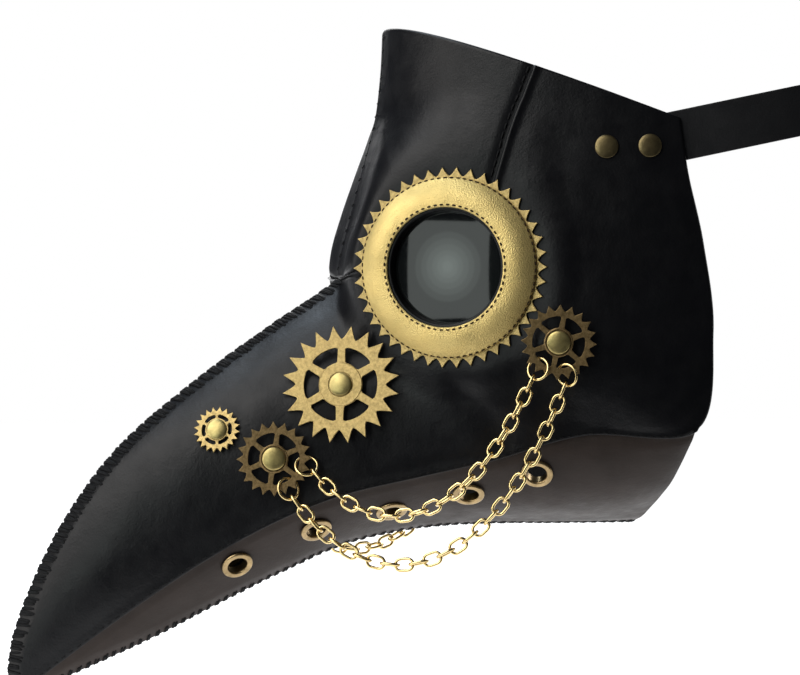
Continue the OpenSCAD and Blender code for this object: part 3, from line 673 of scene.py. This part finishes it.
def over_seam(fn, edge, a, b, step, reach, thick, slant, name, lumps=2):
    """Whip stitches that wrap over the middle seam from the left panel to the right one."""
    build = Build()
    at, s_all, run = line_at(fn, lambda s: np.full_like(s, edge), a, b, step)
    inward = 1 if edge < .5 else -1
    t = np.linspace(-1, 1, 25)
    q = np.sign(t) * np.abs(t) ** 1.5
    for s0 in at:
        for lump in range(lumps):
            r = thick * rng.uniform(.8, 1.15)
            w = reach * rng.uniform(.82, 1.1)
            tilt = slant * rng.uniform(.7, 1.3)
            off = rng.uniform(-.15, .15) + (lump - (lumps - 1) / 2) * thick * 1.75
            s = np.interp(np.interp(s0, s_all, run) + off + q * tilt, run, s_all)
            ends = fn(s, np.full_like(s, edge))
            # millimetres of leather for a whole section, judged close to the seam
            close = .05
            inside = fn(s, np.full_like(s, edge + inward * close))
            per_v = np.linalg.norm(inside - ends, axis=1) / close
            v = edge + inward * np.clip(np.abs(q) * w / per_v, 0, .45)
            p, n = fn(s, v), normal(fn, s, v)
            d = np.abs(q) * w
            p = closed_x(p, d)
            up = r * .3 - .2 - r * 1.3 * np.abs(q) ** 8 - roll(d, 1.25, .9)
            n[:, 0] *= ease(0, 1.5, d)
            p = p + up[:, None] * unit(n)
            p[:, 0] = np.where(q < 0, -p[:, 0], p[:, 0])
            build.add(*tube(p, round_ends(25, r, .6), 7, start=[0, .3, 1]))
    build.make(name, "mask", "thread", M_THREAD, [name])


def running(build, fn, v_of, a, b, step, length, r, shift, sink):
    """Running stitches a little to one side of a seam."""
    at, s_all, run = line_at(fn, v_of, a, b, step)
    for s0 in at:
        q = np.linspace(-.5, .5, 9)
        s = np.interp(np.interp(s0, s_all, run) + q * length * rng.uniform(.9, 1.05), run, s_all)
        v = v_of(s)
        per_v = np.linalg.norm(fn(s, v + .01) - fn(s, v - .01), axis=1) / .02
        v = v - (shift + rng.uniform(-.12, .12)) / per_v
        up = sink + r * .5 - r * 1.6 * np.abs(2 * q) ** 6
        build.add(*tube(fn(s, v) + up[:, None] * normal(fn, s, v), round_ends(9, r, .7), 6))
    return build


over_seam(upper, 0, .3, 7.05, 4.7, 6.6, .66, 2.0, "ridge_stitching", 3)
over_seam(lower, 1, .35, 8.97, 3.9, 3.6, .5, 1.1, "chin_stitching")
over_seam(upper, 0, 7.3, 12.95, 5.5, 1.6, .34, .5, "forehead_stitching", 1)


def jaw_v(s):
    return np.full_like(s, 1.0)


jaw = running(Build(), upper, jaw_v, .5, 7.6, 3.9, 2.3, .34, 1.2, -.05)
running(jaw, upper, jaw_v, 7.6, 8.8, 3.0, 2.0, .36, 1.2, -.05)
running(jaw, upper, jaw_v, 8.8, 8.97, 1.5, 2.6, .5, 1.2, .05)
jaw.both("side_stitching", "mask", "thread", M_THREAD, ["side_stitching_{}"])
temple = running(Build(), upper, temple_v, 7.3, 8.3, 4.0, 2.8, .4, 1.7, -.75)
running(temple, upper, temple_v, 10.7, 12.95, 4.0, 2.9, .42, 1.7, -.75)
temple.both("temple_stitching", "mask", "thread", M_THREAD, ["temple_stitching_{}"])


# -------- eyes
def toothed(tip, root, teeth, steps=12, turn=0.0):
    """Outline of pointed teeth with hollow flanks."""
    out = []
    for k in range(teeth):
        for j in range(steps):
            a = radians(turn) + 2 * pi * (k + j / steps) / teeth
            t = abs(2 * j / steps - 1)
            r = root + (tip - root) * (1 - t) ** 1.6
            out.append((r * cos(a), r * sin(a)))
    return out


def circle(r, n):
    turns = [2 * pi * k / n for k in range(n)]
    return [(r * cos(a), r * sin(a)) for a in turns]


RING_TIP, RING_ROOT, RING_TEETH, RING_HOLE = 40.1, 36.6, 42, 25.8
RING_Z, RING_T, RING_BEVEL = .15, 1.2, .16
ring = plate([toothed(RING_TIP, RING_ROOT, RING_TEETH), circle(RING_HOLE, 160)],
             RING_Z, RING_T, RING_BEVEL)
Build().put(EYE, ring).both("toothed_ring", "mask", "gold_plate", M_PLATE,
                            ["toothed_ring_{}"], 35)

FOOT, TRIM_R, HOLE_R, TRIM_H = 1.5, 35.9, 23.8, 8.4
TRIM_T = 1.2  # leather of the trim, between its face and its hollow side


def bow(t):
    """Height of the domed trim at share t from its foot to the opening."""
    return FOOT + .9 + (TRIM_H - FOOT - 1.2) * t + 2.1 * sin(pi * t ** .92)


def trim():
    t = np.linspace(0, 1, 22)
    rr = TRIM_R - (TRIM_R - HOLE_R) * t
    zz = np.array([bow(x) for x in t]) + .3
    face = list(zip(rr, zz))
    prof = [[TRIM_R - .5, FOOT - .1], [TRIM_R, FOOT], [TRIM_R + .12, FOOT + .5]]
    prof += [[r, z] for r, z in face[:-1]]
    prof += arc(HOLE_R + .62, zz[-1] - .62, .62, 80, 190, 6)
    prof += [[HOLE_R + .35, zz[-1] - TRIM_T], [HOLE_R + 1.2, zz[-1] - 1.6]]
    prof += [[r + .1, z - TRIM_T] for r, z in face[::-4]][1:]
    v, f = lathe(prof, 200)
    # the hand-formed dome isn't quite even
    a, rad = np.arctan2(v[:, 1], v[:, 0]), np.hypot(v[:, 0], v[:, 1])
    mid = np.sin(np.clip((TRIM_R - rad) / (TRIM_R - HOLE_R), 0, 1) * pi)
    v[:, 2] += mid * (.16 * np.sin(3 * a + 1) + .1 * np.sin(7 * a + 2)
                      + .07 * np.sin(13 * a + rad * .4))
    Build().put(EYE, (v, f)).both("eye_trim", "mask", "trim_leather", M_TRIM,
                                  ["eye_trim_{}"], 50)
    stitches = Build()
    # stitches in the row, share of the way in, length as a share of the spacing, radius
    for count, share, along, r in ((60, .915, .45, .37), (84, .012, .5, .36)):
        rad0, z0 = TRIM_R - (TRIM_R - HOLE_R) * share, bow(share) + .3
        half = along * pi / count
        q = np.linspace(-1, 1, 7)
        for k in range(count):
            a = 2 * pi * (k + .5) / count + q * half
            x = np.stack([rad0 * np.cos(a), rad0 * np.sin(a), z0 + .12 - .35 * q ** 6], -1)
            stitches.put(EYE, tube(x, round_ends(7, r, .7), 6))
    stitches.both("trim_stitches", "mask", "thread", M_STITCH)


trim()

LENS_R, LIP_R = 22.0, 24.5
hold = [[LENS_R + .15, -.2], [LENS_R - 1.2, -.2], [LENS_R - 1.2, 1], [LENS_R + .1, 1.05],
        [LENS_R + .15, 3.4], [LENS_R + .5, 5.5]]
hold += arc(LENS_R + 1.25, 6.2, .65, 180, 90, 5) + arc(LIP_R, 6.2, .65, 90, 0, 5)
# the flange that holds it from inside the leather
hold += [[25.15, -THICK - .15], [29.2, -THICK - .15]] + arc(28.9, -THICK - 1.0, .4, 0, -90, 4)
hold += [[LENS_R + .15, -THICK - 1.4]]
Build().put(EYE, lathe(hold, 128)).both("lens_holder", "mask", "lens_holder", M_HOLDER,
                                        ["lens_holder_{}"], 30)
share = np.linspace(0, 1, 24)
top = [[LENS_R * x, 2.75 + 1.3 * (1 - x * x)] for x in share[1:]]
low = [[LENS_R * x, 1.1 + 1.2 * (1 - x * x)] for x in share[:0:-1]]
lens = lathe([[0, 4.05]] + top + low + [[0, 2.3]], 128)
Build().put(EYE, lens).both("lens", "mask", "lens", M_LENS, ["lens_{}"], 30)


# -------- gears and rivets
def window(inner, outer, half, k, turn):
    """Outline of one opening between two spokes, with rounded corners."""
    c = radians(turn + 60 * k + 30)
    pts = []
    for r, order in ((outer, 1), (inner, -1)):
        reach = radians(30) - math.asin(half / r)
        for x in np.linspace(-reach, reach, 14)[::order]:
            edge = min(1, (reach - abs(x)) * r / .7)
            rr = r - order * .55 * (1 - sqrt(1 - (1 - edge) ** 2))
            pts.append((rr * cos(c + x), rr * sin(c + x)))
    return pts


GEARS = {  # place, tip, root, window, hub, spoke, lift, cap radius, turn
    "large_gear": (LARGE, 23.9, 18.5, 15, 8.9, 3.1, 3.1, 4.65, 0),
    "front_gear": (FRONT, 15, 12.4, 10.4, 5.8, 1.95, 2.9, 4.65, -8),
    "small_gear": (SMALL, 9.5, 7.6, 6.2, 4.6, 1, 1.4, 4.2, 4),
    "rear_gear": (REAR, 15, 12.4, 10.4, 5.8, 1.95, 2.5, 4.65, -12)}
GEAR_T, GEAR_TEETH, BORE_R = 1.1, 20, 2.06
for name, (place, tip, root, win, hub, spoke, lift, cap, turn) in GEARS.items():
    loops = [toothed(tip, root, GEAR_TEETH, 16, turn), circle(BORE_R, 40)]
    loops += [window(hub, win, spoke / 2, k, turn) for k in range(6)]
    z = lift + GEAR_T
    hub_ring = lathe([[cap + .2, z - .02], [hub - .1, z - .02], [hub - .4, z + .25],
                      [cap + .45, z + .25]], 64)
    gear = Build().put(place, plate(loops, lift, GEAR_T, .12)).put(place, hub_ring)
    # the front and rear gears take the darker plate, which is painted shade
    gear.both(name, name + "_{}", "gold_plate", M_PLATE_PAINTED_SHADE if place in (FRONT, REAR) else M_PLATE,
              [name + "_{}"], 35)

SHANK_R, SHOULDER_R, STRAP_CAP = 2, 3.4, 4.65
GEAR_SHANK = THICK + 1.8  # how far a rivet reaches in below the leather's face
STRAP_SHANK = THICK + 1.8 + 3.6


def rivet(cap, z, shoulder, depth):
    """Domed cap, shank and shoulder of a rivet, in its place's own axes."""
    dome = [[cap * cos(a), z + .5 + 1.05 * sin(a)] for a in
            np.radians(np.linspace(8, 90, 14))]
    dome[-1][0] = 0
    return lathe([[0, -depth], [SHANK_R, -depth], [SHANK_R, .1], [SHOULDER_R, .1],
                  [SHOULDER_R, shoulder], [SHANK_R, shoulder], [SHANK_R, z], [cap - .3, z],
                  [cap, z + .25]] + dome, 64)


def back(depth):
    """Washer on the inner end of a rivet."""
    return lathe([[2.02, -depth], [3.9, -depth], [4.2, -depth + .25], [4.2, -depth + .9],
                  [2.02, -depth + .9]], 48)


gear_b, strap_b, back_b = Build(), Build(), Build()
for place, *_, lift, cap, _ in GEARS.values():
    gear_b.put(place, rivet(cap, lift + GEAR_T + .15, lift - .15, GEAR_SHANK))
    back_b.put(place, back(GEAR_SHANK))
for place in STRAPS:
    strap_b.put(place, rivet(STRAP_CAP, .3, .2, STRAP_SHANK))
    back_b.put(place, back(STRAP_SHANK))
gear_b.both("gear_rivets", "mask", "rivet_brass", M_RIVET, ["gear_rivets_{}"], 40)
# the strap rivets take the darker brass, which is painted shadow
strap_b.both("strap_rivets", "mask", "rivet_brass", M_RIVET_PAINTED_SHADOW, ["strap_rivets_{}"], 40)
back_b.both("rivet_backs", "mask", "rivet_brass", M_RIVET, ["rivet_backs_{}"], 40)

# -------- eyelets
eyelet = [[4, -THICK - 1.3], [4.6, -THICK - 1.3], [4.62, .1], [6.3, .12]]
eyelet += arc(5.7, .55, .8, -20, 90, 6) + arc(4.85, .55, .85, 90, 180, 6)
washer = [[4.65, -THICK - 1], [6.1, -THICK - .9], [6.2, -THICK - .6], [4.65, -THICK - .3]]
eye_b, wash_b = Build(), Build()
for place in EYELETS:
    eye_b.put(place, lathe(eyelet, 72))
    wash_b.put(place, lathe(washer, 56))
eye_b.both("eyelets", "mask", "eyelet_brass", M_EYELET, ["eyelets_{}"], 40)
wash_b.both("eyelet_washers", "mask", "eyelet_brass", M_EYELET, ["eyelet_washers_{}"], 40)

# -------- chains
JUMP_REACH, JUMP_D, JUMP_W = 13.3, 8.8, 1.1
# Jump rings at a chain's two ends: gear, its lift, and the ring's angle round the gear, its tilt
# and the angle on the ring at which the chain hooks in.
RINGS = {"upper": ((FRONT, 2.9, (78, -32, -30)), (REAR, 2.5, (-38, 32, 10))),
         "lower": ((FRONT, 2.9, (26, -32, 4)), (REAR, 2.5, (14, 32, -30)))}


def ring_frame(place, lift, k, pts):
    """Points of a ring's own plane, turned, tilted and set on its gear."""
    t, n = radians(k[0]), radians(k[1])
    pts = np.asarray(pts, float)
    x, y = JUMP_REACH + pts[:, 0], pts[:, 1] * cos(n)
    z = pts[:, 1] * sin(n) + lift + GEAR_T / 2
    return seat(place, np.stack([x * cos(t) - y * sin(t),
                                 x * sin(t) + y * cos(t), z], -1))


def hook(place, lift, k):
    """Where a chain hooks into its jump ring."""
    a = radians(k[2])
    return ring_frame(place, lift, k, [[JUMP_D / 2 * cos(a), JUMP_D / 2 * sin(a)]])[0]


jump_b = Build()
a = np.linspace(0, 2 * pi, 49)[:-1]
ring = np.stack([JUMP_D / 2 * np.cos(a), JUMP_D / 2 * np.sin(a)], -1)
for ends in RINGS.values():
    for place, lift, k in ends:
        jump_b.add(*tube(ring_frame(place, lift, k, ring), JUMP_W / 2, 10, closed=True))
jump_b.both("jump_rings", "mask", "chain_gold", M_CHAIN, ["jump_rings_{}"])

LINK_L, LINK_W, WIRE = 8.5, 6.0, 1.25


def link_path():
    """Middle line of one link's wire."""
    bend, half = (LINK_W - WIRE) / 2, LINK_L / 2 - LINK_W / 2
    turns = [radians(t) for t in np.linspace(-90, 90, 12)]
    right = [[half + bend * cos(t), bend * sin(t), 0] for t in turns]
    left = [[-x, -y, 0] for x, y, _ in right]
    return np.array(right + left)


def chain(which, links, lean):
    """Links hung on a catenary between two hooks, swung out by lean degrees."""
    f, t = (hook(*e) for e in RINGS[which])
    pitch = LINK_L - 2 * WIRE - .2
    hk = LINK_L / 2 - WIRE - JUMP_W / 2 - .35
    length = 2 * hk + (links - 1) * pitch
    rise, flat = t[2] - f[2], t[:2] - f[:2]
    span, head = np.linalg.norm(flat), math.atan2(flat[1], flat[0])
    lo, hi, want = span / 12, span * 4, sqrt(length ** 2 - rise ** 2)
    for _ in range(60):
        a = (lo + hi) / 2
        if 2 * a * math.sinh(span / 2 / a) > want:
            lo = a
        else:
            hi = a
    low_u = span / 2 - a * math.log((length + rise) / (length - rise)) / 2
    first = -a * math.sinh(low_u / a)
    axis = Vector(t - f).normalized()
    out = Matrix.Translation(f) @ Matrix.Rotation(-radians(lean), 4, axis)
    shape, faces = tube(link_path(), WIRE / 2, 10, closed=True)
    b = Build()
    for k in range(links):
        s = first + hk + k * pitch
        u = low_u + a * math.asinh(s / a)
        z = math.hypot(a, s) - math.hypot(a, first)
        m = (out @ Matrix.Translation((u * cos(head), u * sin(head), z))
             @ Matrix.Rotation(head, 4, "Z") @ Matrix.Rotation(-math.atan(s / a), 4, "Y")
             @ Matrix.Rotation(pi / 2 * (k % 2) + rng.uniform(-.12, .12), 4, "X"))
        m = np.array(m)
        b.add(shape @ m[:3, :3].T + m[:3, 3], faces)
    b.both(which + "_chain", which + "_chain_{}", "chain_gold", M_CHAIN, [which + "_chain_{}"])


chain("upper", 21, 8)
chain("lower", 27, 4)

# -------- strap and buckle
# Middle line of the strap from the middle of the back to the mask, in the strap's own plane.
PATH = np.array([[0, 90], [12, 90], [24, 90], [36, 90], [48, 86.5], [58.5, 78.5], [67, 67],
                 [73, 53], [75.6, 38], [75.4, 23], [73.8, 9], [71.2, -5], [68.6, -20],
                 [65.4, -36], [62.6, -50]], float)
TILT = radians(12)
W, T = 20.0, 1.8  # width and thickness of the strap
# _O is how far outside that line a thing lies, _X where it is across the back, _R its radius.
BUCKLE_O, FAR_X, BUCKLE_R, TAIL_O, OVER_O, KEEP_X = 2.45, -23.0, 1.4, 1.95, 7.6, 26.0


def in_plane(pts):
    """Points of the strap's own plane, tilted into place."""
    p = np.asarray(pts, float) + [0, 31, 0]
    c, s = cos(TILT), sin(TILT)
    return np.stack([p[:, 0], p[:, 1] * c - p[:, 2] * s - 31, p[:, 1] * s + p[:, 2] * c + 46.5],
                    -1)


def strap_at(t, o):
    """Point of the strap's plane at row t of PATH, below 0 on the right, and o outside it."""
    p, q = spline(PATH, abs(t))[0], spline(PATH, abs(t) + .01)[0]
    d = (q - p) / np.linalg.norm(q - p)
    side = -1 if t < 0 else 1
    return np.array([side * (p[0] - o * d[1]), p[1] + o * d[0]])


def at_run(d, run, pts):
    """Values at the distances d of what is known at the distances run."""
    return np.stack([np.interp(d, run, pts[:, 0]), np.interp(d, run, pts[:, 1])], -1)


EDGE_R = .35  # rounding of the strap's edges
STITCH_IN, STITCH_STEP, STITCH_L = 2.1, 3.6, 2.3


def ribbon(b, line, holes, stitches):
    """Strap and its stitches along points of the strap's plane. A hole is given by its distance
    along the strap, its place across it, half its length and half its width."""
    line = np.asarray(line, float)
    run = run_of(line)
    d = np.linspace(0, run[-1], int(run[-1] / .9) + 2)
    for at, _, half_l, _ in holes:
        d = np.sort(np.concatenate([d, at + np.linspace(-half_l, half_l, 9)]))
    c = at_run(d, run, line)
    t = unit(np.gradient(c, axis=0))
    nrm = np.stack([-t[:, 1], t[:, 0]], -1)
    half = W / 2
    edge = np.array([half - .8, half - EDGE_R, half - .15, half])
    rims = [[across - half_w, across + half_w] for _, across, _, half_w in holes]
    z = np.unique(np.concatenate([-edge, np.linspace(-half + 1.2, half - 1.2, 19), edge] + rims))
    into = [max(0, 1 - (half - abs(x)) / EDGE_R) for x in z]
    fall = [EDGE_R * (1 - sqrt(max(0, 1 - x ** 2))) for x in into]
    outer, inner = np.zeros((2, len(d), len(z), 3))
    for j, away in enumerate(fall):
        for skin, sign in ((outer, 1), (inner, -1)):
            skin[:, j, :2] = c + nrm * (sign * (T / 2 - away))
            skin[:, j, 2] = z[j]
    quads = grid_quads(len(d), len(z))
    dm = ((d[:-1] + d[1:]) / 2)[:, None] + 0 * z[None, :-1]
    zm = ((z[:-1] + z[1:]) / 2)[None] + 0 * d[:-1, None]
    keep = np.ones(dm.size, bool)
    for at, across, half_l, half_w in holes:
        u, w = np.abs(dm - at), np.abs(zm - across)
        if half_l <= half_w * 1.2:
            inside = (u / half_l) ** 2 + (w / half_w) ** 2 < 1.02
        else:
            inside = (u < half_l) & (w < half_w)
        keep &= ~inside.ravel()
    quads = quads[keep]
    verts, front, back, wall = sheet(outer.reshape(-1, 3), inner.reshape(-1, 3), quads,
                                     rim_of(quads))
    b.add(in_plane(verts), front + back + wall)
    q = np.linspace(-1, 1, 7)
    for zz in (half - STITCH_IN, -half + STITCH_IN):
        for k in range(int(run[-1] / STITCH_STEP)):
            d0 = k * STITCH_STEP + 2
            if d0 + 2.4 > run[-1] or any(
                    abs(d0 + 1 - at) < half_l + 1.2 and abs(zz - across) < half_w + .8
                    for at, across, half_l, half_w in holes):
                continue
            dd = np.linspace(d0, d0 + STITCH_L, 7)
            cc = at_run(dd, d, c) + at_run(dd, d, nrm) * (T / 2 + .1 - .3 * q ** 6)[:, None]
            path = in_plane(np.concatenate([cc, np.full((7, 1), zz)], 1))
            stitches.add(*tube(path, round_ends(7, .24, .7), 5))


left_b, right_b, st_l, st_r = Build(), Build(), Build(), Build()
END = len(PATH) - 1
MAIN = 120  # steps from the mask to the middle of the back
BAR = 7  # point of the fold in the middle of the prong's slot
fold = BUCKLE_R + .15 + T / 2
line = [strap_at(END * (1 - i / MAIN), 0) for i in range(MAIN + 1)]
cy = PATH[0][1] + BUCKLE_O
line += [[fold * cos(radians(a)), cy + fold * sin(radians(a))]
         for a in np.linspace(-97, -263, 16)]
line += [strap_at(x / 12, BUCKLE_O + fold - (BUCKLE_O + fold - TAIL_O) * float(ease(0, 9, x)))
         for x in np.linspace(.6, 11, 14)]
bar_at = run_of(line)[MAIN + 1 + BAR]
ribbon(left_b, line, [(bar_at, 0, 5.6, 2.0)], st_l)
left_b.make("strap_left", "mask", "strap_leather", M_STRAP, ["strap_left"], sharp=50)
# the right strap climbs over the buckle and comes down on the left one
steps, tail = 180, 4.3
ts = [-END + (END + tail) * i / steps for i in range(steps + 1)]
line = [strap_at(t, OVER_O * float(ease(-1.8, -.5, t))
                 - (OVER_O - TAIL_O) * float(ease(.55, 1.55, t))) for t in ts]
total = run_of(line)


def at_x(x):
    """Distance along the right strap to where it passes x behind the head."""
    k = int(np.argmin([abs(p[0] - x) + (0 if p[1] > 70 else 99) for p in line]))
    return total[k]


PRONG_HOLE_R = 1.9
holes = [((at_x(-18) + at_x(-6)) / 2, 0, (at_x(-6) - at_x(-18)) / 2, 1.4)]
holes += [(at_x(x), 0, PRONG_HOLE_R, PRONG_HOLE_R) for x in (-50, -38, 38.5)]
ribbon(right_b, line, holes, st_r)
right_b.make("strap_right", "mask", "strap_leather", M_STRAP, ["strap_right"], sharp=50)
st_l.make("strap_stitches_left", "mask", "thread", M_THREAD)
st_r.make("strap_stitches_right", "mask", "thread", M_THREAD)

FRAME_H, CORNER = 12.6, 2.2  # half the height of the buckle's frame, and its corner radius
loop = []
for x0, z0, a0 in ((0, FRAME_H, 0), (FAR_X, FRAME_H, 90), (FAR_X, -FRAME_H, 180),
                   (0, -FRAME_H, 270)):
    ox, oz = x0 - (CORNER if x0 == 0 else -CORNER), z0 - (CORNER if z0 > 0 else -CORNER)
    loop += [[ox + CORNER * cos(radians(a)), cy, oz + CORNER * sin(radians(a))]
             for a in np.linspace(a0, a0 + 90, 8)]
bars = []
for i in range(len(loop)):
    p, q = np.array(loop[i]), np.array(loop[(i + 1) % len(loop)])
    m = max(1, int(np.linalg.norm(q - p) / 2))
    bars += [p + (q - p) * j / m for j in range(m)]
verts, faces = tube(bars, BUCKLE_R, 14, closed=True)
Build().add(in_plane(verts), faces).make("buckle_frame", "mask", "buckle_brass", M_BUCKLE,
                                         ["buckle_frame"])

over = cy + BUCKLE_R + 1.2
prong = Build()
points = [[FAR_X - 2.5, over, 0], [FAR_X + 2, over + .05, 0], [-14, over - .1, 0],
          [-6, over - .3, 0], [-2.2, over - .55, 0], [-.6, cy + 1.9, 0]]
radius = np.clip(.55 + .45 * np.linspace(0, 1, 60) * 6, 0, 1)
verts, faces = tube(spline(np.array(points, float), np.linspace(0, 5, 60)), radius, 12)
prong.add(in_plane(verts), faces)
# the eye by which it turns on the bar
verts, faces = lathe([[1.46, -1.3], [2.3, -1.3], [2.55, -1.05], [2.55, 1.05], [2.3, 1.3],
                      [1.46, 1.3]], 48)
prong.add(in_plane(verts + [0, cy, 0]), faces)
prong.make("buckle_prong", "buckle_prong", "buckle_brass", M_BUCKLE, ["buckle_prong"])

WALL = 1.2  # leather of the keeper
lo, hi, zz = -T / 2 - WALL / 2, TAIL_O + T / 2 + WALL / 2, W / 2 + WALL / 2
outline = []
for yy, z0, a0 in ((hi, zz, 0), (lo, zz, 90), (lo, -zz, 180), (hi, -zz, 270)):
    outline += [(yy + .6 * cos(radians(a)), z0 + .6 * sin(radians(a)))
                for a in np.linspace(a0, a0 + 90, 6)]
mid = np.array([[PATH[0][1] + a, b] for a, b in outline])
tan = unit(np.roll(mid, -1, 0) - np.roll(mid, 1, 0))
out_n = np.stack([tan[:, 1], -tan[:, 0]], -1)
# the keeper's cross-section: along the strap, and out from the middle of its wall
prof = [(-4, -.55), (-3.7, -.6), (3.7, -.6), (4, -.55), (4, .3), (3.75, .6), (-3.75, .6), (-4, .3)]
verts = [[KEEP_X + x, p[0] + n[0] * o, p[1] + n[1] * o] for p, n in zip(mid, out_n)
         for x, o in prof]
m, count = len(prof), len(mid)
faces = []
for i in range(count):
    j = (i + 1) % count
    faces += [(i * m + k, i * m + (k + 1) % m, j * m + (k + 1) % m, j * m + k) for k in range(m)]
Build().add(in_plane(verts), faces).make("strap_keeper", "strap_keeper", "strap_leather", M_STRAP,
                                         ["strap_keeper"], sharp=50)

# -------- light and floor
world = bpy.data.worlds.new("world")
scene.world = world
world.use_nodes = True
nt = world.node_tree
bg = nt.nodes["Background"]
sock(bg, "Color", (.8, .88, 1, 1))
sock(bg, "Strength", .06)
white = nt.nodes.new("ShaderNodeBackground")
sock(white, "Color", (1, 1, 1, 1))
sock(white, "Strength", 1.0)
lp, mx = nt.nodes.new("ShaderNodeLightPath"), nt.nodes.new("ShaderNodeMixShader")
nt.links.new(lp.outputs["Is Camera Ray"], mx.inputs["Fac"])
nt.links.new(bg.outputs["Background"], mx.inputs[1])
nt.links.new(white.outputs["Background"], mx.inputs[2])
nt.links.new(mx.outputs["Shader"], nt.nodes["World Output"].inputs["Surface"])


def softbox(name, at, look, w, h, power, colour=(1, 1, 1)):
    li = bpy.data.lights.new(name, "AREA")
    li.shape, li.size, li.size_y, li.energy, li.color = "RECTANGLE", w, h, power, colour
    o = link(name, li)
    o.location = at
    aim(o, Vector(look))
    return o


here = (0, -.1, -.03)
softbox("key", (.62, -1.1, .86), here, 1.5, 1.0, 20, (1, .98, .95))
softbox("sky", (-.28, -.72, 1.5), here, 1.2, .6, 15, (.78, .89, 1))
softbox("front", (.3, -1.5, .02), here, .9, .5, 5, (1, .97, .92))
eye_at = Vector(EYE[0]) * MM
# the window mirrored in the lens, and the glow in its middle, each disk nearer than the last
softbox("window", eye_at + 1.25 * Vector((.731, -.683, .012)), eye_at, .52, .585, 1.7,
        (.93, 1, .96))
for step, across in enumerate((.4, .32, .25, .18, .12, .06)):
    spot = softbox("glow", eye_at + (1.2 - .02 * step) * Vector((.731, -.683, .026)), eye_at,
                   across, across, 1.15 * across ** 2, (.85, 1, .93))
    spot.data.shape = "DISK"
softbox("far_side", (-1.25, -.02, .7), here, .9, .9, 8)
softbox("back", (-.3, 1.3, .5), here, 1.0, .8, 11)

fm, nt, b = nodes_of("floor")
tint(nt, b, "Base Color", noise(nt, 3, 2), grey(.55, .6))
sock(b, "Emission Strength", .97)
sock(b, "Roughness", .8)
sock(b, "Emission Color", (1, 1, 1, 1))
# The floor glows as white as the background, so that no horizon shows, and ends beside the mask,
# so that it doesn't lighten the near side from below.
SIZE, NEAR_X, LOW = 5, .15, -.2
floor_mesh = bpy.data.meshes.new("floor")
floor_mesh.from_pydata([(-SIZE, -SIZE, LOW), (NEAR_X, -SIZE, LOW), (NEAR_X, SIZE, LOW),
                        (-SIZE, SIZE, LOW)], [], [(0, 1, 2, 3)])
floor_mesh.materials.append(fm)
floor = link("floor", floor_mesh)
